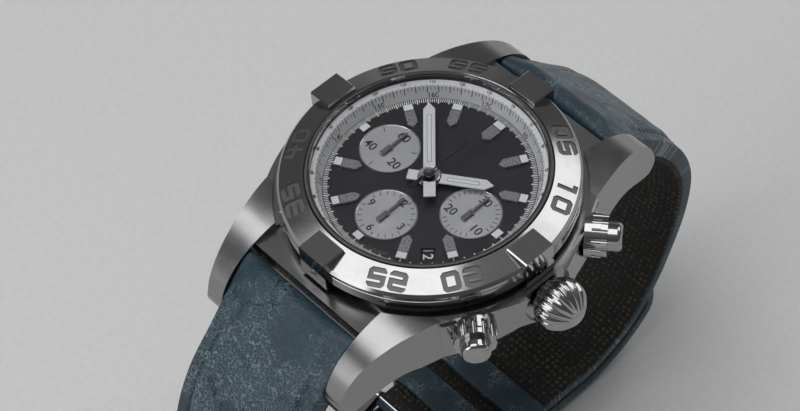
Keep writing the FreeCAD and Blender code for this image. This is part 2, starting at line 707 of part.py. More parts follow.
def hour_markers():
    pieces = []
    for hour in range(1, 12):
        if hour % 3 == 0:
            half = MARKER_WIDTH / 2
            low = MARKER_OUTER_R - 1.3
            short = plate([(-half, low), (half, low), (half, MARKER_OUTER_R), (-half, MARKER_OUTER_R)],
                          0, MARKER_HEIGHT)
            pieces.append(clock(short, 30 * hour))
        else:
            pieces.append(clock(baton(MARKER_INNER_R, MARKER_OUTER_R, MARKER_WIDTH), 30 * hour))
    wide = baton(MARKER_INNER_R + 0.2, MARKER_OUTER_R, MARKER_WIDTH + 0.3)
    pieces.append(wide)
    keep_clear = [disc(SUBDIAL_R + 0.05, -1, 2, p) for p in SUBDIALS]
    out = []
    for piece in pieces:
        for clear in keep_clear:
            piece = piece.cut(clear)
        out.append(piece.cut(ring(DIAL_VISIBLE_R - 0.1, 30, -1, 2)))
    return Part.makeCompound(out)


# ---------------------------------------------------------------------------
# Hands and their arbors
# ---------------------------------------------------------------------------

def blade(length, tail, width, low, bore, hub):
    """Baton hand at 12 o'clock with a pointed tip, a square tail and a hub."""
    half = width / 2
    outline = [
        (-half, -tail), (half, -tail), (half * 0.92, length - width * 0.75),
        (0, length), (-half * 0.92, length - width * 0.75),
    ]
    body = plate(outline, low, low + HAND_THICK)
    body = body.fuse(disc(hub, low, low + HAND_THICK))
    return clean(body.cut(disc(bore, low - 1, low + 2)))


def hour_hand():
    return clock(blade(HOUR_HAND_LENGTH, 3.2, HAND_WIDTH, HOUR_HAND_Z, HOUR_PIPE_R, 1.75),
                 HOUR_HAND_ANGLE)


def minute_hand():
    return clock(blade(MINUTE_HAND_LENGTH, 3.9, HAND_WIDTH, MINUTE_HAND_Z, CANNON_R, 1.5),
                 MINUTE_HAND_ANGLE)


def chrono_seconds_hand():
    low = SECONDS_HAND_Z
    outline = [(-0.28, -4.4), (0.28, -4.4), (0.16, 0), (0.07, SECONDS_HAND_LENGTH),
               (-0.07, SECONDS_HAND_LENGTH), (-0.16, 0)]
    body = plate(outline, low, low + HAND_THICK)
    body = body.fuse(disc(0.85, low, low + HAND_THICK))
    return clean(body.cut(disc(SECONDS_ARBOR_R, low - 1, low + 2)))


def sub_hand(place):
    low = SUB_HAND_Z
    outline = [(-0.42, -1.6), (0.42, -1.6), (0.42, -0.2), (0.17, 0), (0.17, SUB_HAND_LENGTH - 0.4),
               (0, SUB_HAND_LENGTH), (-0.17, SUB_HAND_LENGTH - 0.4), (-0.17, 0), (-0.42, -0.2)]
    body = plate(outline, low, low + HAND_THICK)
    body = body.fuse(disc(0.5, low, low + HAND_THICK))
    body = body.cut(disc(SUB_ARBOR_R, low - 1, low + 2))
    return clean(body.translated(V(place[0], place[1], 0)))


def sub_arbor(place):
    return disc(SUB_ARBOR_R, PLATE_BOTTOM + 0.4, SUB_HAND_Z + HAND_THICK + 0.05, place)


def toothed(radius, teeth, low, high, depth):
    """Gear blank with square-cut teeth."""
    body = disc(radius, low, high)
    width = math.pi * radius / teeth
    gap = box((radius - depth, -width / 2, low - 1), (radius + 1, width / 2, high + 1))
    gaps = [clock(gap, 360.0 * i / teeth) for i in range(teeth)]
    return body.cut(Part.makeCompound(gaps))


def hour_wheel():
    wheel = toothed(4.0, 36, -0.95, -0.7, 0.45)
    body = wheel.fuse(disc(HOUR_PIPE_R, -0.95, HOUR_HAND_Z + HAND_THICK))
    return clean(body.cut(disc(HOUR_PIPE_BORE_R, -2, 2)))


def cannon_pinion():
    body = disc(CANNON_R, PLATE_TOP - 1.6, MINUTE_HAND_Z + HAND_THICK)
    body = body.cut(disc(CANNON_BORE_R, -5, 5))
    return clean(body)


def chrono_seconds_arbor():
    return disc(SECONDS_ARBOR_R, BRIDGE_BOTTOM + 0.2, SECONDS_HAND_Z + HAND_THICK + 0.1)


def date_disc():
    body = ring(DATE_DISC_INNER_R, DATE_DISC_R, DATE_DISC_TOP - DATE_DISC_THICK, DATE_DISC_TOP)
    notch = box((DATE_DISC_INNER_R - 1, -0.45, -3), (DATE_DISC_INNER_R + 0.5, 0.45, 1))
    cuts = [clock(notch, 360.0 * i / 31) for i in range(31)]
    return clean(body.cut(Part.makeCompound(cuts)))


# ---------------------------------------------------------------------------
# Movement
# ---------------------------------------------------------------------------

def main_plate():
    body = disc(MOVEMENT_R, PLATE_BOTTOM, PLATE_TOP)
    # Boss inside the date disc, and a recess under the hour wheel
    body = body.fuse(ring(5.0, DATE_DISC_INNER_R - DIAL_HOLE_GAP, PLATE_TOP - 0.1, DATE_DISC_TOP + 0.1))
    body = body.cut(disc(CANNON_R + PIVOT_GAP, -20, 5))
    for place in SUBDIALS:
        body = body.cut(disc(SUB_ARBOR_R + PIVOT_GAP, -20, 5, place))
    body = body.cut(disc(BALANCE_R + 0.95, PLATE_BOTTOM - 1, PLATE_BOTTOM + 0.5, BALANCE_PLACE))
    return clean(body)


def movement_ring():
    body = ring(MOVEMENT_R, MOVEMENT_RING_R, CASE_BOTTOM + 1.35, -DIAL_THICK)
    body = body.cut(along_x(STEM_R + STEM_GAP, 10, 30, 0, STEM_Z))
    for side in (1, -1):
        body = body.cut(pusher_rod(PUSHER_STEM_R + STEM_GAP, -11, 0, side))
    return clean(body)


def mainspring_barrel():
    low, high = BRIDGE_TOP, PLATE_BOTTOM
    drum = disc(BARREL_R - 0.6, low + 0.1, high - 0.1, BARREL_PLACE)
    rim = toothed(BARREL_R, 60, high - 0.75, high - 0.35, 0.4)
    rim = rim.translated(V(BARREL_PLACE[0], BARREL_PLACE[1], 0))
    arbor = disc(0.8, low, high, BARREL_PLACE)
    return clean(drum.fuse(rim).fuse(arbor))


def train_bridge():
    body = disc(MOVEMENT_R - 0.5, BRIDGE_BOTTOM, BRIDGE_TOP)
    # Open round the balance
    body = body.cut(disc(BALANCE_R + 2.65, -20, 0, BALANCE_PLACE))
    corner = box((-20, -20, -20), (BALANCE_PLACE[0] + 1.5, BALANCE_PLACE[1] + 1.5, 0))
    body = body.cut(corner)
    # Pillars that seat the bridge on the main plate
    for place in PILLARS:
        body = body.fuse(disc(PILLAR_R, BRIDGE_TOP - 0.1, PLATE_BOTTOM, place))
    body = body.fuse(disc(BEARING_R + 1.6, ROTOR_TOP + 0.25, BRIDGE_BOTTOM + 0.1))
    body = body.cut(disc(SECONDS_ARBOR_R + PIVOT_GAP, BRIDGE_BOTTOM, 0))
    body = body.cut(disc(BEARING_R + 0.2, -20, BRIDGE_BOTTOM - 0.2))
    return clean(body)


def balance_cock():
    x, y = BALANCE_PLACE
    low, high = BRIDGE_BOTTOM, BRIDGE_BOTTOM + 0.9
    arm = plate([(x - 1.3, y - 0.9), (x + 1.3, y - 0.9), (x + 1.3, y + 3.4), (x - 1.3, y + 3.4)],
                low, high)
    arm = arm.rotated(V(x, y, 0), V(0, 0, 1), 90)
    foot = disc(1.0, low, PLATE_BOTTOM, (x - 4.2, y + 0.2))
    link = box((x - 4.3, y - 0.7, low), (x - 2.0, y + 0.9, high))
    body = arm.fuse(foot).fuse(link)
    return clean(body.cut(disc(0.18, -20, 0, BALANCE_PLACE)))


def balance_wheel():
    x, y = BALANCE_PLACE
    low, high = -5.4, -4.9
    body = ring(BALANCE_R - 0.5, BALANCE_R, low, high, BALANCE_PLACE)
    for angle in (0, 60, 120):
        reach = BALANCE_R - 0.35
        arm = box((x - reach, y - 0.2, low), (x + reach, y + 0.2, high - 0.15))
        body = body.fuse(arm.rotated(V(x, y, 0), V(0, 0, 1), angle))
    staff = disc(0.15, BRIDGE_BOTTOM + 0.2, PLATE_BOTTOM + 0.4, BALANCE_PLACE)
    return clean(body.fuse(staff))


def rotor():
    """Winding weight: a half disc with a heavy rim, on its bearing."""
    web = disc(ROTOR_R - 0.4, ROTOR_TOP - 0.5, ROTOR_TOP)
    rim = ring(ROTOR_R - 3.0, ROTOR_R, ROTOR_BOTTOM, ROTOR_TOP)
    half = box((-30, -30, -20), (30, 0.0, 5))
    body = web.fuse(rim).common(half)
    body = body.fuse(disc(BEARING_R + 1.9, ROTOR_TOP - 0.5, ROTOR_TOP))
    return clean(body.cut(disc(BEARING_R + PIVOT_GAP, -20, 0)))


def rotor_bearing():
    low = ROTOR_TOP - 0.9
    body = disc(BEARING_R, low, BRIDGE_BOTTOM - 0.2)
    head = disc(BEARING_R + 0.6, low, ROTOR_TOP - 0.6)
    slot = box((-2, -0.15, low - 1), (2, 0.15, low + 0.15))
    return clean(body.fuse(head).cut(slot))


def movement_screws():
    pieces = []
    for x, y in PILLARS:
        low = BRIDGE_BOTTOM - 0.35
        head = disc(0.7, low, BRIDGE_BOTTOM, (x, y))
        slot = box((x - 1, y - 0.1, low - 1), (x + 1, y + 0.1, low + 0.15))
        pieces.append(head.cut(slot))
    return Part.makeCompound(pieces)


# ---------------------------------------------------------------------------
# Crown and stem
# ---------------------------------------------------------------------------

def crown():
    base = CROWN_BASE
    tip = base + CROWN_LENGTH
    shoulder = tip - 0.6
    curve = Part.BSplineCurve()
    curve.interpolate([
        V(base + 0.5, 0, CROWN_R - 0.95),
        V(base + 1.6, 0, CROWN_R - 0.2),
        V(base + 3.0, 0, CROWN_R),
        V(base + 4.6, 0, CROWN_R - 0.65),
        V(shoulder, 0, CROWN_R - 2.2),
    ])
    outline = [
        Part.makeLine(V(base, 0, 0), V(base, 0, CROWN_R - 1.2)),
        Part.makeLine(V(base, 0, CROWN_R - 1.2), V(base + 0.5, 0, CROWN_R - 0.95)),
        curve.toShape(),
        Part.makeLine(V(shoulder, 0, CROWN_R - 2.2), V(tip, 0, CROWN_R - 2.5)),
        Part.makeLine(V(tip, 0, CROWN_R - 2.5), V(tip, 0, 0)),
        Part.makeLine(V(tip, 0, 0), V(base, 0, 0)),
    ]
    body = Part.Face(Part.Wire(outline)).revolve(V(0, 0, 0), V(1, 0, 0), 360)
    groove = along_x(0.42, base + 0.9, tip - 0.5, 0, CROWN_R + 0.02)
    end = Part.makeSphere(0.42, V(tip - 0.5, 0, CROWN_R + 0.02))
    for i in range(CROWN_FLUTES):
        turn = 360.0 * (i + 0.5) / CROWN_FLUTES
        body = body.cut(groove.fuse(end).rotated(V(0, 0, 0), V(1, 0, 0), turn))
    body = body.cut(along_x(CROWN_CAVITY_R, base - 1, base + CROWN_CAVITY_DEPTH))
    body = body.cut(along_x(STEM_R, base - 1, base + CROWN_CAVITY_DEPTH + 1.2))
    return clean(body.translated(V(0, 0, STEM_Z)))


def winding_stem():
    return along_x(STEM_R, MOVEMENT_R - 8.0, CROWN_BASE + CROWN_CAVITY_DEPTH + 1.2, 0, STEM_Z)


def winding_pinion():
    body = toothed(STEM_R + 0.35, 10, 0, 2.2, 0.2)
    body = body.rotated(V(0, 0, 0), V(0, 1, 0), 90).translated(V(MOVEMENT_R - 5.8, 0, STEM_Z))
    return clean(body.cut(along_x(STEM_R + PIVOT_GAP, 0, 30, 0, STEM_Z)))


def crown_tube():
    body = along_x(TUBE_R, MOVEMENT_BORE_R + 0.6, TUBE_END, 0, STEM_Z)
    return clean(body.cut(along_x(TUBE_BORE_R, 0, 40, 0, STEM_Z)))


def crown_gasket():
    start = CROWN_BASE + 0.3
    body = along_x(CROWN_CAVITY_R, start, start + 0.7, 0, STEM_Z)
    return clean(body.cut(along_x(TUBE_R + RUNNING_GAP, 0, 40, 0, STEM_Z)))


# ---------------------------------------------------------------------------
# Pushers
# ---------------------------------------------------------------------------

def pusher_tube(side):
    """Collar with a fluted rim, and the tube that fixes it in the case."""
    body = pusher_rod(COLLAR_R - 0.2, -COLLAR_HALF, COLLAR_HALF, side)
    body = body.fuse(pusher_rod(COLLAR_R, -COLLAR_HALF, COLLAR_HALF - 0.9, side))
    body = body.fuse(pusher_rod(PUSHER_TUBE_R, -4.0, 0, side))
    axis = pusher_place(1, side) - pusher_place(0, side)
    flute = pusher_rod(0.36, -0.6, 5, side).translated(V(0, 0, COLLAR_R + 0.02))
    for i in range(COLLAR_FLUTES):
        turn = 360.0 * i / COLLAR_FLUTES
        body = body.cut(flute.rotated(pusher_place(0, side), axis, turn))
    body = body.cut(pusher_rod(PUSHER_CAP_R + RUNNING_GAP, PUSHER_BORE_FLOOR, 5, side))
    return clean(body.cut(pusher_rod(PUSHER_STEM_R + RUNNING_GAP, -9, 5, side)))


def pusher(side):
    """Cap and stem, turned in one piece."""
    cap = pusher_rod(PUSHER_CAP_R, 0.2, PUSHER_CAP_END, side)
    rim = []
    for edge in cap.Edges:
        centre = edge.CenterOfMass
        if edge.Closed and (centre - pusher_place(PUSHER_CAP_END, side)).Length < 1e-3:
            rim.append(edge)
    cap = cap.makeFillet(0.7, rim)
    body = cap.fuse(pusher_rod(PUSHER_STEM_R, -8.2, 0.3, side))
    return clean(body)


def pusher_spring(side):
    """Ring spring between the floor of the collar and the cap: slit rings joined by short posts."""
    rings = 4
    leaf = 0.16
    room = 0.2 - PUSHER_BORE_FLOOR - 0.04
    pitch = (room - leaf) / (rings - 1)
    body = ring(1.25, 1.7, 0, leaf)
    for i in range(1, rings):
        low = i * pitch
        body = body.fuse(ring(1.25, 1.7, low, low + leaf))
        post = box((1.3, -0.25, low - pitch + leaf / 2), (1.65, 0.25, low + leaf / 2))
        for half_turn in (0, 180):
            body = body.fuse(post.rotated(V(0, 0, 0), V(0, 0, 1), 90 * i + half_turn))
    body = clean(body)
    axis = pusher_place(1, side) - pusher_place(0, side)
    spin = FreeCAD.Rotation(V(0, 0, 1), axis)
    body.Placement = FreeCAD.Placement(pusher_place(PUSHER_BORE_FLOOR + 0.02, side), spin)
    return body


def pusher_gaskets():
    pieces = []
    for side in (1, -1):
        outer = pusher_rod(PUSHER_STEM_R + 0.5, -4.6, -4.05, side)
        pieces.append(outer.cut(pusher_rod(PUSHER_STEM_R + 0.02, -9, 0, side)))
    return Part.makeCompound(pieces)


# ---------------------------------------------------------------------------
# Spring bars, strap, keepers and buckle
# ---------------------------------------------------------------------------

def spring_bars():
    pieces = []
    for side in (1, -1):
        half = LUG_GAP / 2
        y = side * SPRING_BAR_Y
        body = along_x(SPRING_BAR_R, -half + 0.2, half - 0.2, y, SPRING_BAR_Z)
        reach = half + SPRING_BAR_SEAT
        pieces.append(body.fuse(along_x(SPRING_BAR_TIP_R, -reach, reach, y, SPRING_BAR_Z)))
    return Part.makeCompound(pieces)


def loop_points(drop):
    """Outer line of one strap half from the lug to the straight underside."""
    points = [(SPRING_BAR_Y + beyond, DIAL_Z - share * drop) for beyond, share in LOOP_SHAPE]
    return points + [(FLAT_HALF, DIAL_Z - drop)]


class StrapLine:
    """Outer line of a strap half, with a thickness that thins towards the underside."""

    def __init__(self, points, samples):
        self.curve = Part.BSplineCurve()
        self.curve.interpolate([V(0, y, z) for y, z in points])
        self.length = self.curve.length()
        self.places = [self.length * i / (samples - 1) for i in range(samples)]

    def at(self, place):
        t = self.curve.parameterAtDistance(place)
        return self.curve.value(t), self.curve.tangent(t)[0]

    def offset(self, place, depth, side):
        """Point under the outer line; side says which way the inside lies."""
        point, along = self.at(place)
        inward = V(0, side * along.z, -side * along.y)
        return point + inward * depth


def smooth(points):
    curve = Part.BSplineCurve()
    curve.interpolate(points)
    return curve.toShape()


def band(line, side, top, under, width):
    """Closed band between two depths (functions of place), as wide as it is long."""
    upper = [line.offset(p, top(p), side) for p in line.places]
    lower = [line.offset(p, under(p), side) for p in line.places]
    edges = [
        smooth(upper),
        Part.makeLine(upper[-1], lower[-1]),
        smooth(lower),
        Part.makeLine(lower[0], upper[0]),
    ]
    section = Part.Face(Part.Wire(Part.__sortEdges__(edges)))
    return section.extrude(V(width, 0, 0)).translated(V(-width / 2, 0, 0))


def taper():
    """Front view of the strap: full width at the lugs, narrower by the underside."""
    wide, narrow = STRAP_WIDTH / 2, STRAP_END_WIDTH / 2
    low, high, top = DIAL_Z * 0.3, DIAL_Z + SPRING_BAR_Z - 3.0, DIAL_Z + 10
    outline = [(-narrow, -5), (narrow, -5), (narrow, low), (wide, high), (wide, top),
               (-wide, top), (-wide, high), (-narrow, low)]
    return face([(x, -100, z) for x, z in outline]).extrude(V(0, 200, 0))


def lug_end(side):
    """Rounded end of a strap half, wrapped round its spring bar."""
    y, z = side * SPRING_BAR_Y, DIAL_Z + SPRING_BAR_Z
    return along_x(STRAP_LUG_THICK / 2, -STRAP_WIDTH / 2, STRAP_WIDTH / 2, y, z)


def thickness():
    """Strap thickness: padded at the lugs, thin from two thirds of the way down."""
    def value(place):
        share = min(1.0, place / STRAP_THIN_FROM)
        return STRAP_LUG_THICK + (STRAP_END_THICK - STRAP_LUG_THICK) * share
    return value


def leather_and_lining(line, side):
    full = thickness()
    outside = band(line, side, lambda p: 0.0, lambda p: full(p) - LINING_THICK, STRAP_WIDTH)
    inside = band(line, side, lambda p: full(p) - LINING_THICK + GLUE_GAP, full, STRAP_WIDTH)
    under = band(line, side, lambda p: full(p) - LINING_THICK, lambda p: full(p) + 1, STRAP_WIDTH)
    outside = outside.fuse(lug_end(side)).cut(under)
    bore = along_x(SPRING_BAR_R, -30, 30, side * SPRING_BAR_Y, DIAL_Z + SPRING_BAR_Z)
    shape = taper()
    nose = lug_end(side).cut(under)
    return outside.cut(bore).common(shape), inside.cut(nose).cut(bore).common(shape)


def buckle_half():
    points = [p for p in loop_points(LOOP_DROP)]
    steps = 6
    for i in range(1, steps + 1):
        y = FLAT_HALF + (BUCKLE_BAR_Y - FLAT_HALF) * i / steps
        points.append((y, SHORT_LEVEL))
    line = StrapLine(points, 60)
    outside, inside = leather_and_lining(line, 1)
    nose = along_x(STRAP_END_THICK / 2, -STRAP_END_WIDTH / 2, STRAP_END_WIDTH / 2,
                   BUCKLE_BAR_Y, BAR_Z)
    half_slot = TANG_R + 0.5
    slot = box((-half_slot, BUCKLE_BAR_Y - 3, -1), (half_slot, BUCKLE_BAR_Y + 3.0, BAR_Z + 3))
    bore = along_x(BAR_R, -30, 30, BUCKLE_BAR_Y, BAR_Z)
    outside = outside.fuse(nose.cut(inside)).cut(slot).cut(bore)
    return clean(outside), clean(inside.cut(slot).cut(bore))


def tang_bend():
    """Where the tang straightens out to lie in the front rail."""
    return (BUCKLE_BAR_Y - BUCKLE_REACH + 2.0, TANG_R + 0.1)


def tang_way():
    """Slanting hole through the long half, with room for the tang to swing."""
    y, z = tang_bend()
    pivot = V(0, BUCKLE_BAR_Y, BAR_Z)
    away = (V(0, y, z) - pivot).normalize()
    hole = Part.makeCylinder(STRAP_HOLE_R, 9.0, pivot + away * 1.2, away)
    out = hole
    for degrees in (3, 6):
        out = out.fuse(hole.rotated(pivot, V(1, 0, 0), degrees))
    return out


def tail_corner():
    """Points of the tail where it follows the buckle half round the corner."""
    guide = StrapLine(loop_points(LOOP_DROP) + [(FLAT_HALF - 6, SHORT_LEVEL)], 10)
    corner = guide.curve.parameter(V(0, FLAT_HALF, SHORT_LEVEL))
    reach = guide.curve.length(guide.curve.FirstParameter, corner)
    outward = -(LAYER_GAP + STRAP_END_THICK)
    points = []
    for share in (0.33, 0.67, 1.0):
        point = guide.offset(reach - share * TAIL_WRAP, outward, 1)
        points.append((point.y, point.z))
    return points


def long_half():
    points = [(-y, z) for y, z in loop_points(LONG_DROP)]
    rail_back = BUCKLE_BAR_Y - BUCKLE_REACH + BUCKLE_RAIL / 2
    for y in (rail_back - 3.6, rail_back - 1.8, rail_back):
        points.append((y, LONG_LEVEL))
    tail_start = BUCKLE_BAR_Y + 1.0
    points.append(((rail_back + tail_start) / 2, (LONG_LEVEL + TAIL_LEVEL) / 2))
    steps = 7
    for i in range(steps + 1):
        y = tail_start + (FLAT_HALF - tail_start) * i / steps
        points.append((y, TAIL_LEVEL))
    corner = tail_corner()
    line = StrapLine(points + corner, 110)
    outside, inside = leather_and_lining(line, -1)
    cuts = [tang_way(), tail_trim(corner[-1])]
    for step in (-1, 1, 2, 3, 4):
        y = BUCKLE_BAR_Y - TANG_HOLE + step * HOLE_PITCH
        cuts.append(Part.makeCylinder(STRAP_HOLE_R, 9, V(0, y, -1)))
    for cut in cuts:
        outside = outside.cut(cut)
        inside = inside.cut(cut)
    print("long half, length of its outer line", round(line.length, 1))
    return clean(outside), clean(inside)


def tail_trim(tip):
    """What is cut away to round the end of the tail."""
    half = STRAP_END_WIDTH / 2
    low = tip[1] - 7.0
    high = tip[1] + 0.6
    near = FLAT_HALF + 0.5
    blank = box((-half - 1, near, low), (half + 1, 60, high + 8))
    arc = Part.Arc(V(-half, near, low), V(0, near, high), V(half, near, low))
    chord = Part.makeLine(V(half, near, low), V(-half, near, low))
    kept = Part.Face(Part.Wire([arc.toShape(), chord])).extrude(V(0, 60, 0))
    return blank.cut(kept)


def keeper(middle, gap):
    """Leather loop round both strap layers."""
    half = STRAP_END_WIDTH / 2
    low, high = middle - KEEPER_WIDTH / 2, middle + KEEPER_WIDTH / 2
    outer = box((-half - gap - KEEPER_WALL, low, 0),
                (half + gap + KEEPER_WALL, high, KEEPER_TOP + gap - LAYER_GAP + KEEPER_WALL))
    corners = [e for e in outer.Edges if abs(e.Vertexes[0].Point.y - e.Vertexes[-1].Point.y) > 1]
    outer = outer.makeFillet(0.9, corners)
    inner = box((-half - gap, low - 1, KEEPER_WALL - (gap - LAYER_GAP)),
                (half + gap, high + 1, KEEPER_TOP + gap - LAYER_GAP))
    return clean(outer.cut(inner))


def buckle_frame():
    """Side arms from the bar down to the front rail, which the strap passes over."""
    half = BUCKLE_INNER
    outer = half + BUCKLE_ARM
    front_y = BUCKLE_BAR_Y - BUCKLE_REACH
    rail = BUCKLE_RAIL / 2
    bar = V(0, BUCKLE_BAR_Y, BAR_Z)
    front = V(0, front_y, rail)
    run = (front - bar).normalize()
    side = V(0, -run.z, run.y) * rail
    arm = Part.Face(Part.makePolygon([bar + side, front + side, front - side, bar - side, bar + side]))
    body = arm.extrude(V(2 * outer, 0, 0)).translated(V(-outer, 0, 0))
    for centre in (bar, front):
        body = body.fuse(along_x(rail, -outer, outer, centre.y, centre.z))
    body = body.cut(box((-half, front_y + rail - 0.1, -2), (half, 40, 40)))
    body = body.cut(box((-half, front_y - 5, BUCKLE_RAIL - 0.02), (half, 40, 40)))
    groove_z = tang_bend()[1]
    groove = TANG_R + 0.15
    body = body.cut(box((-groove, front_y - 3, -2), (groove, front_y + 3, groove_z + TANG_R + 0.1)))
    return clean(body.cut(along_x(BAR_R + PIVOT_GAP, -outer + 0.5, outer - 0.5, bar.y, bar.z)))


def buckle_bar():
    reach = BUCKLE_INNER + BUCKLE_ARM - 0.55
    return along_x(BAR_R, -reach, reach, BUCKLE_BAR_Y, BAR_Z)


def buckle_tang():
    y, z = tang_bend()
    pivot = V(0, BUCKLE_BAR_Y, BAR_Z)
    bend = V(0, y, z)
    tip = V(0, BUCKLE_BAR_Y - BUCKLE_REACH - 0.9, z)
    body = Part.makeCylinder(TANG_R, (bend - pivot).Length, pivot, bend - pivot)
    body = body.fuse(Part.makeSphere(TANG_R, bend))
    body = body.fuse(Part.makeCylinder(TANG_R, (tip - bend).Length, bend, tip - bend))
    body = body.fuse(Part.makeSphere(TANG_R, tip))
    body = body.fuse(along_x(BAR_R + 0.5, -TANG_R - 0.2, TANG_R + 0.2, pivot.y, pivot.z))
    return clean(body.cut(along_x(BAR_R + PIVOT_GAP, -5, 5, pivot.y, pivot.z)))


# ---------------------------------------------------------------------------
# Build every piece
# ---------------------------------------------------------------------------

bezel, tabs, screws = bezel_parts()
head = {
    "mid_case": mid_case(),
    "case_back": case_back(),
    "case_back_gasket": back_seal(0, BACK_SEAL[2] - FIT_GAP),
    "bezel": bezel,
    "bezel_rider_tabs": tabs,
    "bezel_screws": screws,
    "bezel_click_spring": click_spring(),
    "bezel_gasket": bezel_gasket(),
    "crystal": crystal(),
    "crystal_gasket": crystal_gasket(),
    "flange_ring": flange_ring(),
    "dial": dial(),
    "subdials": subdials(),
    "hour_markers": hour_markers(),
    "date_disc": date_disc(),
    "hour_wheel": hour_wheel(),
    "hour_hand": hour_hand(),
    "cannon_pinion": cannon_pinion(),
    "minute_hand": minute_hand(),
    "chrono_seconds_arbor": chrono_seconds_arbor(),
    "chrono_seconds_hand": chrono_seconds_hand(),
    "small_seconds_arbor": sub_arbor(SUBDIALS[0]),
    "small_seconds_hand": sub_hand(SUBDIALS[0]),
    "chrono_hours_arbor": sub_arbor(SUBDIALS[1]),
    "chrono_hours_hand": sub_hand(SUBDIALS[1]),
    "chrono_minutes_arbor": sub_arbor(SUBDIALS[2]),
    "chrono_minutes_hand": sub_hand(SUBDIALS[2]),
    "main_plate": main_plate(),
    "movement_ring": movement_ring(),
    "mainspring_barrel": mainspring_barrel(),
    "train_bridge": train_bridge(),
    "balance_cock": balance_cock(),
    "balance_wheel": balance_wheel(),
    "rotor": rotor(),
    "rotor_bearing": rotor_bearing(),
    "movement_screws": movement_screws(),
    "crown": crown(),
    "winding_stem": winding_stem(),
    "winding_pinion": winding_pinion(),
    "crown_tube": crown_tube(),
    "crown_gasket": crown_gasket(),
    "pusher_tubes": Part.makeCompound([pusher_tube(1), pusher_tube(-1)]),
    "start_pusher": pusher(1),
    "reset_pusher": pusher(-1),
    "start_pusher_spring": pusher_spring(1),
    "reset_pusher_spring": pusher_spring(-1),
    "pusher_gaskets": pusher_gaskets(),
    "spring_bars": spring_bars(),
}
for name, shape in head.items():
    save(name, lift(shape))

leather_12, lining_12 = buckle_half()
leather_6, lining_6 = long_half()
strap = {
    "strap_leather_12": leather_12,
    "strap_lining_12": lining_12,
    "strap_leather_6": leather_6,
    "strap_lining_6": lining_6,
    "fixed_keeper": keeper(FIXED_KEEPER_Y, LAYER_GAP),
    "free_keeper": keeper(FREE_KEEPER_Y, FREE_KEEPER_GAP),
    "buckle_frame": buckle_frame(),
    "buckle_bar": buckle_bar(),
    "buckle_tang": buckle_tang(),
}
for name, shape in strap.items():
    save(name, shape)

print("dial plane at", round(DIAL_Z, 3), "pieces", len(head) + len(strap))
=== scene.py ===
# %% [markdown]
# # A chronograph wristwatch
#
# The watch stands dial up on its own buckled strap. Steel, lacquer, sapphire and leather sit side
# by side here, so most of the lesson is about making each surface read as what it is. The frame
# (every piece that moves, fits or fastens) is already modelled. This file loads it, gives each
# piece its finish, and adds what a solid modeller makes badly: leather, printing, bevelled hands
# and markers.

# %% Load the frame
import bpy
import bmesh
import json
import math
from mathutils import Matrix, Vector, noise


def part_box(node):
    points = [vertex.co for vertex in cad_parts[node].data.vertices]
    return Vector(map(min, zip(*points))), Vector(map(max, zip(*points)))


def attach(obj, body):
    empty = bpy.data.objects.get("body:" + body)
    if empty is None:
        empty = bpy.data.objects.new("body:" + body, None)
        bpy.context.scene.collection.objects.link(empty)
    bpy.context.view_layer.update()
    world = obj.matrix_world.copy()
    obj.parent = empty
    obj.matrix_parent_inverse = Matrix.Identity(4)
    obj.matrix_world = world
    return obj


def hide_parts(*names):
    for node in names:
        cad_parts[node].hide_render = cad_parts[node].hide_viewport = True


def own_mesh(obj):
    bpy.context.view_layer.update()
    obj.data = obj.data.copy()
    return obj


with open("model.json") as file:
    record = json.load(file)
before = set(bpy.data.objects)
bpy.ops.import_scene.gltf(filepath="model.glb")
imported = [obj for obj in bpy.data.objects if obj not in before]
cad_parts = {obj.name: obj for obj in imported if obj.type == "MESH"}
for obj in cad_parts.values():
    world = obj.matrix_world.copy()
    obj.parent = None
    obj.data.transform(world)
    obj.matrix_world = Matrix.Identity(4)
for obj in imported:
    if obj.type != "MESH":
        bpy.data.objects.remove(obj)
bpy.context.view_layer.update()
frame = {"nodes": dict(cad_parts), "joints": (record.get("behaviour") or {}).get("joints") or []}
MM = 0.001

# %% [markdown]
# ## Where things are
#
# Positions come from the frame, so that the looks follow the design. The top of the dial is the
# level that everything on the watch face is measured from.

# %% Levels and centres
_, dial_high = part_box("dial")
DIAL = Vector((0.0, 0.0, dial_high[2]))
print("dial plane is", round(DIAL.z / MM, 2), "mm above the floor")

# %% [markdown]
# ## Camera
#
# A long lens from a little way off keeps the round bezel round. The camera is placed by its
# bearing (compass direction and height angle), a small roll, and a slide across the picture that
# puts the watch a little left of the middle, as a catalogue picture would.

# %% Camera
BEARING = math.radians(52.19)
HEIGHT_ANGLE = math.radians(52.09)
ROLL = math.radians(-6.27)
DISTANCE = 0.35446
SLIDE = (0.00422, 0.00340)
FOCAL_LENGTH = 113.53
SENSOR_WIDTH = 36


def camera_axes(bearing, height, roll):
    """Right, up and backward directions of a camera that looks at the watch."""
    back = Vector((
        math.sin(bearing) * math.cos(height),
        -math.cos(bearing) * math.cos(height),
        math.sin(height),
    ))
    level = Vector((math.cos(bearing), math.sin(bearing), 0))
    rise = back.cross(level)
    right = level * math.cos(roll) + rise * math.sin(roll)
    up = rise * math.cos(roll) - level * math.sin(roll)
    return right, up, back


right, up, back = camera_axes(BEARING, HEIGHT_ANGLE, ROLL)
place = DIAL - right * SLIDE[0] - up * SLIDE[1] + back * DISTANCE
lens = bpy.data.cameras.new("camera")
lens.lens = FOCAL_LENGTH
lens.sensor_width = SENSOR_WIDTH
lens.clip_start = 0.01
camera = bpy.data.objects.new("camera", lens)
bpy.context.scene.collection.objects.link(camera)
camera.matrix_world = Matrix((
    (right.x, up.x, back.x, place.x),
    (right.y, up.y, back.y, place.y),
    (right.z, up.z, back.z, place.z),
    (0, 0, 0, 1),
))
bpy.context.scene.camera = camera
print("camera stands", round(place.length, 3), "m from the origin")

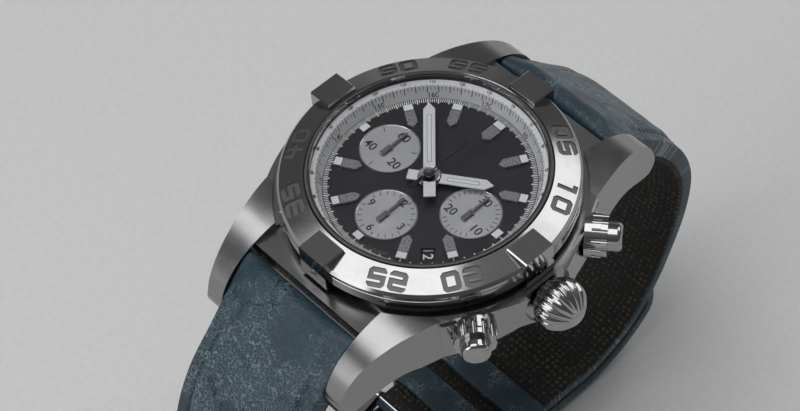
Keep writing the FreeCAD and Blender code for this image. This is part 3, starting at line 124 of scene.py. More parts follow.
# %% [markdown]
# ## Writing materials as sums
#
# A finish is mostly arithmetic on patterns: fine noise times a mask, plus a bit of something else.
# `Wire` wraps one node socket, so the arithmetic can be written as arithmetic, and `Sheet` is one
# material being written, with a single method that adds any other node.

# %% Shader helpers
class Wire:
    """A node socket that can be used in a Python expression."""

    def __init__(self, sheet, socket):
        self.sheet = sheet
        self.socket = socket

    def math(self, operation, *others):
        sockets = {0: self}
        for i, other in enumerate(others):
            sockets[i + 1] = other
        return self.sheet.node("ShaderNodeMath", {"operation": operation}, sockets)

    def __add__(self, other):
        return self.math("ADD", other)

    __radd__ = __add__

    def __mul__(self, other):
        return self.math("MULTIPLY", other)

    __rmul__ = __mul__

    def __sub__(self, other):
        return self.math("SUBTRACT", other)

    def __rsub__(self, other):
        return self.sheet.node("ShaderNodeMath", {"operation": "SUBTRACT"}, {0: other, 1: self})

    def ramp(self, low, high, to_low=0.0, to_high=1.0):
        """This value stretched from one range to another, and held at its ends."""
        return self.sheet.node(
            "ShaderNodeMapRange",
            {"interpolation_type": "SMOOTHSTEP"},
            {"Value": self, "From Min": low, "From Max": high, "To Min": to_low, "To Max": to_high},
        )


class Sheet:
    """One material being written."""

    def __init__(self, name):
        self.material = bpy.data.materials.new(name)
        self.material.use_nodes = True
        self.tree = self.material.node_tree
        self.shader = self.tree.nodes["Principled BSDF"]

    def set_socket(self, socket, value):
        if isinstance(value, Wire):
            self.tree.links.new(value.socket, socket)
        elif isinstance(value, (tuple, list)) and len(value) == 3 and socket.type == "RGBA":
            socket.default_value = (*value, 1.0)
        else:
            socket.default_value = value

    def node(self, kind, settings, sockets, out=0):
        """Adds any node: its settings first, then the values or links of its sockets."""
        node = self.tree.nodes.new(kind)
        for name, value in settings.items():
            setattr(node, name, value)
        for name, value in sockets.items():
            self.set_socket(node.inputs[name], value)
        return Wire(self, node.outputs[out])

    def place(self, scale=(1, 1, 1), turn=(0, 0, 0), centre=(0, 0, 0), source="Object"):
        """Object (or UV) coordinates, moved to a centre, turned and scaled."""
        spot = self.node("ShaderNodeTexCoord", {}, {}, source)
        moved = self.node("ShaderNodeVectorMath", {"operation": "SUBTRACT"}, {0: spot, 1: centre})
        sockets = {"Vector": moved, "Rotation": turn, "Scale": scale}
        return self.node("ShaderNodeMapping", {}, sockets)

    def noise(self, vector, scale, detail=2.0, roughness=0.5, lumps=0.0):
        return self.node(
            "ShaderNodeTexNoise",
            {},
            {"Vector": vector, "Scale": scale, "Detail": detail, "Roughness": roughness,
             "Distortion": lumps},
        )

    def cells(self, vector, scale, feature="F1", out="Distance", jitter=1.0):
        return self.node(
            "ShaderNodeTexVoronoi",
            {"feature": feature},
            {"Vector": vector, "Scale": scale, "Randomness": jitter},
            out,
        )

    def split(self, vector):
        """The three numbers of a vector."""
        return [self.node("ShaderNodeSeparateXYZ", {}, {"Vector": vector}, axis) for axis in "XYZ"]

    def join(self, x, y, z):
        return self.node("ShaderNodeCombineXYZ", {}, {"X": x, "Y": y, "Z": z})

    def mix(self, mask, first, second):
        """A colour between two colours, by a mask."""
        sockets = {0: mask, 6: first, 7: second}
        return self.node("ShaderNodeMix", {"data_type": "RGBA"}, sockets, 2)

    def bump(self, height, distance, strength=1.0, under=None):
        sockets = {"Height": height, "Distance": distance, "Strength": strength}
        if under is not None:
            sockets["Normal"] = under
        return self.node("ShaderNodeBump", {}, sockets)

    def finish(self, **sockets):
        """Sets the shader's own sockets; Base_Color stands for Base Color."""
        for name, value in sockets.items():
            self.set_socket(self.shader.inputs[name.replace("_", " ")], value)
        return self.material

    def surface(self, shader):
        """Puts a mix of shaders on the surface, in place of the plain one."""
        output = self.tree.nodes["Material Output"]
        self.tree.links.new(shader.socket, output.inputs["Surface"])
        return self.material


def dress(material, *names):
    """Gives CAD nodes a material, in place of the plain one that they came with."""
    for name in names:
        node = frame["nodes"][name]
        node.data.materials.clear()
        node.data.materials.append(material)


print("shader helpers ready")

# %% [markdown]
# ## Steel
#
# Three finishes make this case look expensive. Mirror polish is smooth, but never perfect: wipe
# marks change its roughness a little. Brushing is fine parallel scratches, so its noise is
# squeezed across one direction. A lathe leaves rings, so there the noise changes with the radius.
# They share nearly one grey, and differ mostly in roughness and in the bump.

# %% Steel finishes
STEEL = (0.36, 0.36, 0.365)


def polished(name, tint=STEEL, rough=0.07):
    sheet = Sheet(name)
    spot = sheet.place()
    wipes = sheet.noise(spot, 260, 4, 0.6)
    specks = sheet.noise(spot, 5200, 2, 0.7)
    shade = sheet.mix(wipes.ramp(0.35, 0.7), tint, [c * 0.93 for c in tint])
    roughness = wipes.ramp(0.3, 0.75, rough * 0.75, rough * 1.5) + specks.ramp(0.6, 0.8, 0.0, 0.05)
    return sheet.finish(
        Base_Color=shade,
        Metallic=1.0,
        Roughness=roughness,
        Normal=sheet.bump(specks, 0.000002, 0.25),
    )


def brushed(name, scale, tint=STEEL, rough=0.24):
    """Straight brushing: scale squeezes the noise, so the scratches run along its small number."""
    sheet = Sheet(name)
    lines = sheet.noise(sheet.place(scale), 1.0, 3, 0.65)
    broad = sheet.noise(sheet.place(), 300, 2)
    shade = sheet.mix(lines.ramp(0.3, 0.7), [c * 0.96 for c in tint], tint)
    return sheet.finish(
        Base_Color=shade,
        Metallic=1.0,
        Roughness=lines.ramp(0.25, 0.75, rough * 0.9, rough * 1.15) + broad.ramp(0.3, 0.7, 0, 0.04),
        Normal=sheet.bump(lines, 0.0000004, 0.2),
    )


def turned_finish(name, centre, tint=STEEL, rough=0.2, pitch=9000):
    """Rings left by a lathe: noise that changes with the radius alone."""
    sheet = Sheet(name)
    x, y, z = sheet.split(sheet.place(centre=centre))
    radius = (x * x + y * y).math("SQRT")
    rings = sheet.noise(sheet.join(radius * pitch, z * 400, 0.0), 1.0, 3, 0.6)
    broad = sheet.noise(sheet.place(), 350, 3)
    shade = sheet.mix(rings.ramp(0.3, 0.7), [c * 0.88 for c in tint], tint)
    return sheet.finish(
        Base_Color=shade,
        Metallic=1.0,
        Roughness=rings.ramp(0.25, 0.75, rough * 0.8, rough * 1.3) + broad.ramp(0.3, 0.7, 0, 0.04),
        Normal=sheet.bump(rings, 0.000004, 0.4),
    )


POLISHED = polished("polished_steel", (0.37, 0.37, 0.375))
BRUSHED_Y = brushed("brushed_steel", (9000, 500, 9000), tint=(0.30, 0.30, 0.305), rough=0.2)
dress(BRUSHED_Y, "mid_case")
dress(POLISHED, "bezel_rider_tabs", "bezel_screws", "crown", "pusher_tubes", "start_pusher",
      "reset_pusher", "buckle_frame", "buckle_tang", "buckle_bar", "spring_bars")
dress(turned_finish("case_back_steel", (0, 0, 0)), "case_back")
print("steel finishes:", len(bpy.data.materials))

# %% [markdown]
# ## Floor, light and surroundings
#
# Polished metal shows its surroundings, so the studio matters as much as the material. A pale
# floor keeps the picture plain, three large soft panels give the steel something bright to show,
# and a sky that is darker half way up gives it something dark. Far from the watch the floor fades
# to one even tone, but only for rays that look at it, so it adds no light.

# %% Floor
FADE_START, FADE_END = 0.12, 0.75
bpy.ops.object.select_all(action="DESELECT")
bpy.ops.mesh.primitive_plane_add(size=3.0, location=(0, 0, 0))
floor = bpy.context.object
floor.name = "floor"
sheet = Sheet("pale_floor")
grain = sheet.noise(sheet.place(), 900, 3)
sheet.finish(
    Base_Color=sheet.mix(grain.ramp(0.3, 0.7), (0.70, 0.70, 0.70), (0.73, 0.73, 0.73)),
    Roughness=0.6,
    Normal=sheet.bump(grain, 0.00002, 0.3),
)
x, y, _ = sheet.split(sheet.place())
far = (x * x + y * y).math("SQRT").ramp(FADE_START, FADE_END)
seen = 0.0
for ray in ("Is Camera Ray", "Is Glossy Ray", "Is Transmission Ray"):
    seen = sheet.node("ShaderNodeLightPath", {}, {}, ray) + seen
even = sheet.node("ShaderNodeEmission", {}, {"Color": (0.58, 0.58, 0.58), "Strength": 1.0})
lit = Wire(sheet, sheet.shader.outputs[0])
faded = far * seen.math("MINIMUM", 1.0)
blend = sheet.node("ShaderNodeMixShader", {}, {0: faded, 1: lit, 2: even})
floor.data.materials.append(sheet.surface(blend))
print("floor fades from", FADE_START, "to", FADE_END, "m")


# %% Lamps
def panel(name, size, location, aim, watts):
    """A soft rectangular lamp that looks at a point."""
    lamp = bpy.data.lights.new(name, "AREA")
    lamp.shape = "RECTANGLE"
    lamp.size, lamp.size_y = size
    lamp.energy = watts
    thing = bpy.data.objects.new(name, lamp)
    bpy.context.scene.collection.objects.link(thing)
    thing.location = location
    thing.rotation_euler = (Vector(aim) - Vector(location)).to_track_quat("-Z", "Y").to_euler()
    return thing


panel("overhead", (0.50, 0.50), (-0.13, -0.10, 0.68), (0, 0, 0.06), 1.75)
panel("back", (0.42, 0.42), (0.02, 0.52, 0.64), (0, 0, 0.06), 1.2)
panel("fill", (0.4, 0.4), (-0.10, -0.60, 0.36), (0, 0, 0.05), 1.35)

# %% Sky
world = bpy.data.worlds.new("studio")
bpy.context.scene.world = world
world.use_nodes = True
tree = world.node_tree
direction = tree.nodes.new("ShaderNodeTexCoord")
parts = tree.nodes.new("ShaderNodeSeparateXYZ")
tree.links.new(direction.outputs["Generated"], parts.inputs[0])
ramp = tree.nodes.new("ShaderNodeValToRGB")
tree.links.new(parts.outputs["Z"], ramp.inputs[0])
stops = [(0.0, 0.66), (0.10, 0.58), (0.24, 0.12), (0.66, 0.12), (0.80, 0.20), (1.0, 0.26)]
while len(ramp.color_ramp.elements) < len(stops):
    ramp.color_ramp.elements.new(0.5)
for element, (at, shade) in zip(ramp.color_ramp.elements, stops):
    element.position = at
    element.color = (shade, shade, shade * 1.01, 1)
tree.links.new(ramp.outputs[0], tree.nodes["Background"].inputs["Color"])
bpy.context.scene.view_settings.view_transform = "Standard"

# %% [markdown]
# ## Making pieces by hand, in code
#
# Every new piece starts as a primitive at its size and place, is shaped in edit mode, and ends
# with its object at the origin and its place in its mesh. These few helpers say that once.
# Anything that repeats is shaped once and copied, and each copy gets its own mesh.

# %% Modelling helpers
def fresh():
    """Leaves edit mode and deselects everything."""
    if bpy.context.object and bpy.context.object.mode == "EDIT":
        bpy.ops.object.mode_set(mode="OBJECT")
    bpy.ops.object.select_all(action="DESELECT")


def only(thing):
    fresh()
    thing.select_set(True)
    bpy.context.view_layer.objects.active = thing
    return thing


def settle(thing):
    """Moves an object's place into its mesh."""
    only(thing)
    bpy.ops.object.transform_apply(location=True, rotation=True, scale=True)
    return thing


def block(name, size, middle):
    """A cube primitive with these side lengths, at this place."""
    fresh()
    bpy.ops.mesh.primitive_cube_add(size=1, location=middle, scale=size)
    thing = settle(bpy.context.object)
    thing.name = name
    return thing


def edit(thing, kind="FACE"):
    """Enters edit mode with nothing selected, and gives the mesh to select in."""
    only(thing)
    bpy.ops.object.mode_set(mode="EDIT")
    bpy.ops.mesh.select_mode(type=kind)
    bpy.ops.mesh.select_all(action="DESELECT")
    return bmesh.from_edit_mesh(thing.data)


def pick(thing, parts, test):
    """Selects the parts that pass a test."""
    for part in parts:
        if test(part):
            part.select_set(True)
    bmesh.update_edit_mesh(thing.data)


def modify(thing, kind, **settings):
    """Adds one modifier and applies it."""
    only(thing)
    change = thing.modifiers.new(kind.lower(), kind)
    for name, value in settings.items():
        setattr(change, name, value)
    bpy.ops.object.modifier_apply(modifier=change.name)
    return thing


def copies(pattern, name, placements):
    """One joined piece, made of a copy of the pattern at each placement."""
    made = []
    for placement in placements:
        copy = pattern.copy()
        copy.data = pattern.data.copy()
        copy.data.transform(placement)
        if placement.determinant() < 0:
            copy.data.flip_normals()
        bpy.context.scene.collection.objects.link(copy)
        made.append(copy)
    bpy.data.objects.remove(pattern)
    return join(made, name)


def join(things, name):
    fresh()
    for thing in things:
        thing.select_set(True)
    bpy.context.view_layer.objects.active = things[0]
    if len(things) > 1:
        bpy.ops.object.join()
    thing = bpy.context.object
    thing.name = name
    return thing


def smooth(thing, degrees=30):
    only(thing)
    bpy.ops.object.shade_smooth_by_angle(angle=math.radians(degrees))
    return thing


def dressed(thing, *materials):
    thing.data.materials.clear()
    for material in materials:
        thing.data.materials.append(material)
    return thing


def clock(degrees, centre=(0, 0)):
    """Turns a piece drawn at 12 o'clock to its clock angle, about a point of the dial."""
    spot = Matrix.Translation((centre[0], centre[1], 0))
    return spot @ Matrix.Rotation(-math.radians(degrees), 4, "Z") @ spot.inverted()


print("modelling helpers ready")

# %% [markdown]
# ## Numbers
#
# A number is a text object turned into a mesh, so that it exports like anything else. It is laid
# flat with its middle on the spot that is asked for, and then given its place.

# %% Numbers
def number(label, size, place, turn=0.0, depth=0.02 * MM):
    """A flat number: its middle at place, turned clockwise."""
    fresh()
    bpy.ops.object.text_add()
    words = bpy.context.object
    words.data.body = label
    words.data.size = size
    words.data.align_x = "CENTER"
    words.data.align_y = "CENTER"
    words.data.resolution_u = 4
    words.data.extrude = depth
    words.data.offset = size * 0.008
    bpy.ops.object.convert(target="MESH")
    words = bpy.context.object
    low = min(v.co.y for v in words.data.vertices)
    high = max(v.co.y for v in words.data.vertices)
    words.data.transform(Matrix.Translation((0, -(low + high) / 2, 0)))
    spin = Matrix.Rotation(-math.radians(turn), 4, "Z")
    words.data.transform(Matrix.Translation(place) @ spin)
    return words


def dial_spot(radius, degrees, height, centre=(0, 0)):
    """A point over the dial, by radius and clock angle."""
    angle = math.radians(degrees)
    return Vector((
        centre[0] + radius * math.sin(angle),
        centre[1] + radius * math.cos(angle),
        DIAL.z + height,
    ))


def ink(name, shade, rough=0.5, metal=0.0):
    """Ink or fine plating: an almost even colour, with a little unevenness in its thickness."""
    sheet = Sheet(name)
    film = sheet.noise(sheet.place(), 4000, 3)
    return sheet.finish(
        Base_Color=sheet.mix(film.ramp(0.3, 0.7), [c * 0.9 for c in shade], shade),
        Metallic=metal,
        Roughness=film.ramp(0.3, 0.7, rough * 0.85, rough * 1.1),
        Normal=sheet.bump(film, 0.000001, 0.2),
    )


WHITE_INK = ink("white_ink", (0.80, 0.80, 0.80))
BLACK_INK = ink("black_ink", (0.012, 0.012, 0.014))

# %% [markdown]
# ## The dial
#
# The dial is black lacquer over metal: nearly no colour of its own, a hard clear coat, and the
# slightest metallic flake. All of its white work stands a few hundredths of a millimetre proud.

# %% Lacquer
sheet = Sheet("black_lacquer")
flake = sheet.noise(sheet.place(), 9000, 2)
cloud = sheet.noise(sheet.place(), 180, 3)
dress(sheet.finish(
    Base_Color=sheet.mix(cloud.ramp(0.3, 0.7), (0.006, 0.006, 0.008), (0.012, 0.012, 0.015)),
    Roughness=flake.ramp(0.3, 0.7, 0.30, 0.42),
    Coat_Weight=0.2,
    Coat_Roughness=0.12,
    Normal=sheet.bump(flake, 0.000002, 0.3),
), "dial", "date_disc")
print("lacquer on the dial and the date disc")

# %% Minute track
TRACK_OUT = 15.15 * MM
ticks = []
for width, inner, angles in (
    (0.17, 14.25, [6 * i for i in range(60)]),
    (0.115, 14.50, [1.2 * i for i in range(300) if i % 5]),
):
    middle = (inner * MM + TRACK_OUT) / 2
    tick = block("tick", (width * MM, TRACK_OUT - inner * MM, 0.03 * MM),
                 (0, middle, DIAL.z + 0.015 * MM))
    edit(tick)
    pick(tick, bmesh.from_edit_mesh(tick.data).faces, lambda f: f.normal.z > 0.5)
    bpy.ops.mesh.inset(thickness=width * 0.15 * MM)
    bpy.ops.transform.translate(value=(0, 0, 0.008 * MM))
    ticks.append(copies(tick, "ticks", [clock(a) for a in angles]))
track = dressed(join(ticks, "minute_track"), WHITE_INK)
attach(track, "case")
print("minute track:", len(track.data.polygons), "faces")

# %% [markdown]
# ## The sloped ring and the outer scale
#
# Between dial and crystal a ring slopes up to a flat white scale. Its slope is spun silver with
# dark marks. The marks are laid on the slope itself, so each is tilted with it.

# %% Sloped ring finish
sheet = Sheet("flange_silver")
x, y, z = sheet.split(sheet.place(centre=tuple(DIAL)))
radius = (x * x + y * y).math("SQRT")
rings = sheet.noise(sheet.join(radius * 9000, z * 9000, 0.0), 1.0, 3, 0.6)
flat_top = radius.ramp(15.98 * MM, 16.06 * MM)
dress(sheet.finish(
    Base_Color=sheet.mix(
        flat_top,
        sheet.mix(rings.ramp(0.3, 0.7), (0.64, 0.64, 0.65), (0.76, 0.76, 0.77)),
        sheet.mix(rings.ramp(0.3, 0.7), (0.80, 0.80, 0.81), (0.86, 0.86, 0.87)),
    ),
    Metallic=flat_top.ramp(0, 1, 0.15, 0.0),
    Roughness=rings.ramp(0.3, 0.7, 0.28, 0.42),
    Normal=sheet.bump(rings, 0.000003, 0.4),
), "flange_ring")
print("sloped ring finished")

# %% Marks on the slope
SLOPE_LOW = Vector((0, 15.25 * MM, 0))
SLOPE_HIGH = Vector((0, 16.0 * MM, 1.9 * MM))
slope = SLOPE_HIGH - SLOPE_LOW
lean = Matrix.Rotation(math.atan2(slope.z, slope.y), 4, "X")


def slope_tick(share_low, share_high, width):
    """A mark lying on the slope at 12 o'clock, between two shares of its height."""
    middle = DIAL + SLOPE_LOW + slope * (share_low + share_high) / 2
    length = slope.length * (share_high - share_low)
    mark = block("mark", (width, length, 0.03 * MM), (0, 0, 0))
    mark.data.transform(Matrix.Translation(middle) @ lean)
    return mark


marks = [
    copies(slope_tick(0.48, 0.97, 0.13 * MM), "marks", [clock(6 * i) for i in range(60)]),
    copies(slope_tick(0.68, 0.97, 0.08 * MM), "marks", [clock(2 * i) for i in range(180) if i % 3]),
]
for i in range(12):
    spot = DIAL + SLOPE_LOW + slope * 0.27
    label = number(str(60 + 10 * i), 1.15 * MM, (0, 0, 0))
    label.data.transform(clock(30 * i + 15) @ Matrix.Translation(spot) @ lean)
    marks.append(label)
slope_marks = dressed(join(marks, "slope_marks"), BLACK_INK)
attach(slope_marks, "case")

# %% Outer scale
scale = []
tick = block("tick", (0.09 * MM, 0.22 * MM, 0.03 * MM), (0, 16.15 * MM, DIAL.z + 2.06 * MM))
scale.append(copies(tick, "ticks", [clock(3 * i) for i in range(120)]))
for i in range(24):
    angle = 15 * i
    spot = dial_spot(16.43 * MM, angle, 2.30 * MM)
    label = number(str(5 * (i + 2)), 0.62 * MM, (0, 0, 0), depth=0.03 * MM)
    label.data.transform(Matrix.Translation(spot) @ clock(angle) @ Matrix.Rotation(0.6, 4, "X"))
    scale.append(label)
outer_scale = dressed(join(scale, "outer_scale"), BLACK_INK)
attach(outer_scale, "case")
print("ring marks:", len(slope_marks.data.polygons) + len(outer_scale.data.polygons), "faces")

# %% [markdown]
# ## The three small dials
#
# Each is a silvered disc cut with very fine circles, which is why a bright sector seems to turn
# with the light. Rings of bump do that. Numbers stay upright, whatever their place on the disc.

# %% Silvered discs
_, sub_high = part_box("subdials")
SUB_RADIUS = 4.43 * MM
SUB_OFFSET = sub_high[0] - SUB_RADIUS
SUB_CENTRES = {"small_seconds": (-SUB_OFFSET, 0), "chrono_hours": (0, -SUB_OFFSET),
               "chrono_minutes": (SUB_OFFSET, 0)}
sheet = Sheet("silvered_disc")
x, y, _ = sheet.split(sheet.place(centre=tuple(DIAL)))
near = None
for cx, cy in SUB_CENTRES.values():
    dx, dy = x - cx, y - cy
    distance = (dx * dx + dy * dy).math("SQRT")
    near = distance if near is None else near.math("MINIMUM", distance)
rings = sheet.noise(sheet.join(near * 14000, 0.0, 0.0), 1.0, 2, 0.5)
rim = near.ramp(SUB_RADIUS - 0.24 * MM, SUB_RADIUS - 0.14 * MM)
dress(sheet.finish(
    Base_Color=sheet.mix(rim, sheet.mix(rings, (0.52, 0.52, 0.53), (0.70, 0.70, 0.71)),
                         (0.72, 0.72, 0.73)),
    Metallic=rim.ramp(0, 1, 0.6, 1.0),
    Roughness=rim.ramp(0, 1, 0.24, 0.1),
    Normal=sheet.bump(rings, 0.00002, 0.8),
), "subdials")
print("silvered discs:", len(SUB_CENTRES))

# %% Numbers and ticks of the small dials
SUB_TOP = 0.165 * MM


def spokes(step, spacing, clear):
    """Clock angles every step degrees, without those near a number; numbers are spacing apart."""
    return [a for a in range(0, 360, step) if min(a % spacing, spacing - a % spacing) > clear]


FACES = {
    "small_seconds": (["60", "20", "40"], 2.85, 1.95, [(a, 0.85, 0.11) for a in (60, 180, 300)]),
    "chrono_hours": (["12", "3", "6", "9"], 3.05, 1.75,
                     [(a, 0.6, 0.10) for a in spokes(15, 90, 14)]),
    "chrono_minutes": (["30", "10", "20"], 2.9, 1.9,
                       [(a, 0.6, 0.10) for a in spokes(12, 120, 17)]),
}
for face, (labels, reach, size, lines) in FACES.items():
    centre = SUB_CENTRES[face]
    prints = []
    for i, label in enumerate(labels):
        spot = dial_spot(reach * MM, 360 / len(labels) * i, SUB_TOP, centre)
        prints.append(number(label, size * MM, spot))
    for angle, length, width in lines:
        middle = (4.05 - length / 2) * MM
        tick = block("tick", (width * MM, length * MM, 0.03 * MM),
                     (centre[0], centre[1] + middle, DIAL.z + SUB_TOP))
        tick.data.transform(clock(angle, centre))
        prints.append(tick)
    print_piece = dressed(join(prints, face + "_print"), BLACK_INK)
    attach(print_piece, "case")
print("small dials at", round(SUB_OFFSET / MM, 2), "mm from the middle")

# %% Date
_, date_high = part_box("date_disc")
DATE_ANGLE = 134.5
spot = dial_spot(12.25 * MM, DATE_ANGLE, date_high[2] - DIAL.z + 0.03 * MM)
date = dressed(number("12", 2.05 * MM, spot, turn=DATE_ANGLE - 90), WHITE_INK)
date.name = "date_number"
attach(date, "date_disc")

# %% [markdown]
# ## Markers and hands
#
# These are little steel bars, cut and polished, so their bevels matter more than their faces: each
# bevel catches a different part of the studio. The pale lume (the paint that glows at night) lies
# in a pocket on top, so it is made by insetting the top face and giving that face its own
# material.

# %% Materials of the bars
LUME = ink("lume", (0.72, 0.73, 0.74), 0.65)
HAND_FACE = ink("hand_silver", (0.74, 0.74, 0.76), 0.36, 0.15)
HAND_EDGE = polished("hand_bevel", (0.66, 0.66, 0.68), 0.16)
MARKER_STEEL = ink("marker_steel", (0.30, 0.30, 0.31), 0.30, 0.5)
DARK_STEEL = polished("dark_hand_steel", (0.10, 0.10, 0.11), 0.25)


def pointed_bar(name, width, low, high, tip, base, thick, bevel):
    """A bar at 12 o'clock from low to high, whose last end narrows to a point of length tip."""
    shoulder = high - abs(tip) if tip > 0 else low + abs(tip)
    ends = (low, shoulder) if tip > 0 else (shoulder, high)
    bar = block(name, (width, ends[1] - ends[0], thick),
                (0, (ends[0] + ends[1]) / 2, DIAL.z + base + thick / 2))
    side = 1 if tip > 0 else -1
    mesh = edit(bar)
    pick(bar, mesh.faces, lambda f: f.normal.y * side > 0.5)
    point_y = high if tip > 0 else low
    bpy.ops.mesh.extrude_region_move(
        TRANSFORM_OT_translate={"value": (0, point_y - shoulder, 0)})
    bpy.ops.transform.resize(value=(0.02, 1, 1))
    bpy.ops.object.mode_set(mode="OBJECT")
    modify(bar, "BEVEL", width=bevel, segments=1, limit_method="ANGLE", angle_limit=0.9)
    return bar


# %% Hour markers
def marker(name, width, inner, outer):
    """An applied baton: pointed bar, square block of lume at its outer end."""
    bar = pointed_bar(name, width, inner, outer - 1.22 * MM, -0.75 * MM, 0, 0.45 * MM, 0.16 * MM)
    dressed(bar, MARKER_STEEL)
    return join([bar, lume_block(name, width, outer)], name)


def lume_block(name, width, outer):
    middle = outer - 0.58 * MM
    body = block(name, (width, 1.16 * MM, 0.42 * MM), (0, middle, DIAL.z + 0.21 * MM))
    dressed(body, HAND_EDGE, LUME)
    edit(body)
    pick(body, bmesh.from_edit_mesh(body.data).faces, lambda f: f.normal.z > 0.5)
    bpy.ops.mesh.inset(thickness=0.08 * MM)
    bpy.ops.mesh.extrude_region_move(TRANSFORM_OT_translate={"value": (0, 0, 0.07 * MM)})
    bpy.ops.mesh.inset(thickness=0.03 * MM)
    mesh = bmesh.from_edit_mesh(body.data)
    for face in mesh.faces:
        if face.normal.z > 0.5 and face.calc_center_median().z > DIAL.z + 0.45 * MM:
            face.material_index = 1
    bpy.ops.object.mode_set(mode="OBJECT")
    return body


batons = []
long_hours = [h for h in range(1, 12) if h % 3]
pattern = marker("baton", 1.5 * MM, 10.0 * MM, 14.2 * MM)
batons.append(copies(pattern, "batons", [clock(30 * h) for h in long_hours]))
batons.append(marker("twelve", 1.8 * MM, 10.2 * MM, 14.2 * MM))
pattern = lume_block("short", 1.5 * MM, 14.2 * MM)
batons.append(copies(pattern, "short", [clock(a) for a in (90, 180, 270)]))
markers = join(batons, "applied_markers")
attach(markers, "case")
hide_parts("hour_markers")
print("markers:", len(markers.data.polygons), "faces")


# %% Hour and minute hands
def lume_slot(bar, width, low, high, top):
    """A narrow pocket of lume let into the top of a hand."""
    pocket = block("pocket", (width, high - low, 0.04 * MM), (0, (low + high) / 2, top))
    modify(pocket, "BEVEL", width=0.012 * MM, segments=1)
    frame_bar = block("frame", (width + 0.11 * MM, high - low + 0.11 * MM, 0.02 * MM),
                      (0, (low + high) / 2, top))
    dressed(frame_bar, DARK_STEEL)
    dressed(pocket, LUME)
    return join([bar, frame_bar, pocket], bar.name)


def hub(name, outer, inner, base, thick):
    """A turned hub: a disc with a dished middle and bevelled rims."""
    fresh()
    bpy.ops.mesh.primitive_cylinder_add(
        vertices=48, radius=outer, depth=thick,
        location=(0, 0, DIAL.z + base + thick / 2))
    tube = settle(bpy.context.object)
    tube.name = name
    edit(tube)
    pick(tube, bmesh.from_edit_mesh(tube.data).faces, lambda f: f.normal.z > 0.5)
    bpy.ops.mesh.inset(thickness=outer - inner)
    bpy.ops.transform.translate(value=(0, 0, -0.06 * MM))
    bpy.ops.object.mode_set(mode="OBJECT")
    return modify(tube, "BEVEL", width=0.03 * MM, segments=2, limit_method="ANGLE",
                  angle_limit=0.9)


def baton_hand(name, node, body, length, tail, base, angle, hub_r, slot_ends):
    thick = 0.22 * MM
    bar = pointed_bar(name, 1.7 * MM, -tail, length, 1.15 * MM, base, thick, 0.07 * MM)
    dressed(bar, HAND_FACE)
    bar = lume_slot(bar, 0.55 * MM, slot_ends[0], slot_ends[1], DIAL.z + base + thick)
    collar = dressed(hub("collar", hub_r, hub_r * 0.7, base - 0.02 * MM, thick + 0.08 * MM),
                     HAND_EDGE)
    hand = join([bar, collar], name)
    hand.data.transform(clock(angle))
    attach(hand, body)
    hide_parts(node)


baton_hand("hour_baton", "hour_hand", "hour_hand", 9.2 * MM, 3.2 * MM, 0.85 * MM, 56.0,
           1.75 * MM, (2.6 * MM, 7.1 * MM))
baton_hand("minute_baton", "minute_hand", "minute_hand", 13.1 * MM, 3.9 * MM, 1.4 * MM,
           313.0, 1.5 * MM, (2.3 * MM, 10.8 * MM))

# %% Chronograph seconds hand
needle = block("needle", (0.3 * MM, 17.6 * MM, 0.16 * MM), (0, 4.55 * MM, DIAL.z + 2.06 * MM))
mesh = edit(needle, "VERT")
pick(needle, mesh.verts, lambda v: v.co.y > 13 * MM)
bpy.ops.transform.resize(value=(0.45, 1, 1))
bpy.ops.object.mode_set(mode="OBJECT")
tail = block("tail", (0.62 * MM, 3.0 * MM, 0.16 * MM), (0, -2.6 * MM, DIAL.z + 2.06 * MM))
parts = [modify(p, "BEVEL", width=0.05 * MM, segments=1) for p in (needle, tail)]
parts.append(hub("seconds_hub", 0.85 * MM, 0.5 * MM, 1.95 * MM, 0.22 * MM))
seconds = dressed(join(parts, "seconds_needle"), DARK_STEEL)
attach(seconds, "chrono_seconds")
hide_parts("chrono_seconds_hand")

# %% Small hands
GREY_STEEL = ink("small_hand_steel", (0.17, 0.17, 0.18), 0.36, 0.5)
for body, centre in SUB_CENTRES.items():
    thin = pointed_bar("thin", 0.36 * MM, -0.2 * MM, 3.7 * MM, 0.4 * MM, 0.38 * MM, 0.2 * MM,
                       0.04 * MM)
    wide = block("wide", (0.84 * MM, 1.5 * MM, 0.2 * MM), (0, -0.9 * MM, DIAL.z + 0.48 * MM))
    modify(wide, "BEVEL", width=0.05 * MM, segments=1)
    hand = join([thin, wide, hub("hub", 0.5 * MM, 0.3 * MM, 0.38 * MM, 0.24 * MM)],
                body + "_needle")
    hand.data.transform(Matrix.Translation((centre[0], centre[1], 0)))
    dressed(hand, GREY_STEEL)
    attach(hand, body)
    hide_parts(body + "_hand")

# %% [markdown]
# ## Sapphire
#
# Real crystal sends nearly all light straight through and mirrors a little, more at its rim.
# Mixing a clear shader with a gloss one by Fresnel does the same, and the lamps still reach the
# dial, which they don't through a full glass shader.

# %% Crystal
sheet = Sheet("sapphire")
clear = sheet.node("ShaderNodeBsdfTransparent", {}, {"Color": (0.985, 0.99, 0.995, 1)})
gloss = sheet.node("ShaderNodeBsdfAnisotropic", {}, {"Color": (1, 1, 1, 1), "Roughness": 0.02})
edge = sheet.node("ShaderNodeFresnel", {}, {"IOR": 1.30})
both = sheet.node("ShaderNodeMixShader", {}, {0: edge * 0.45, 1: clear, 2: gloss})
dress(sheet.surface(both), "crystal")
print("crystal is clear")

# %% [markdown]
# ## Bezel
#
# The numerals are cut into the frame's bezel. The floor of each cut is bead blasted and darker,
# and only its depth tells it from the polished cone, so the mask asks how far a point lies under
# the cone.

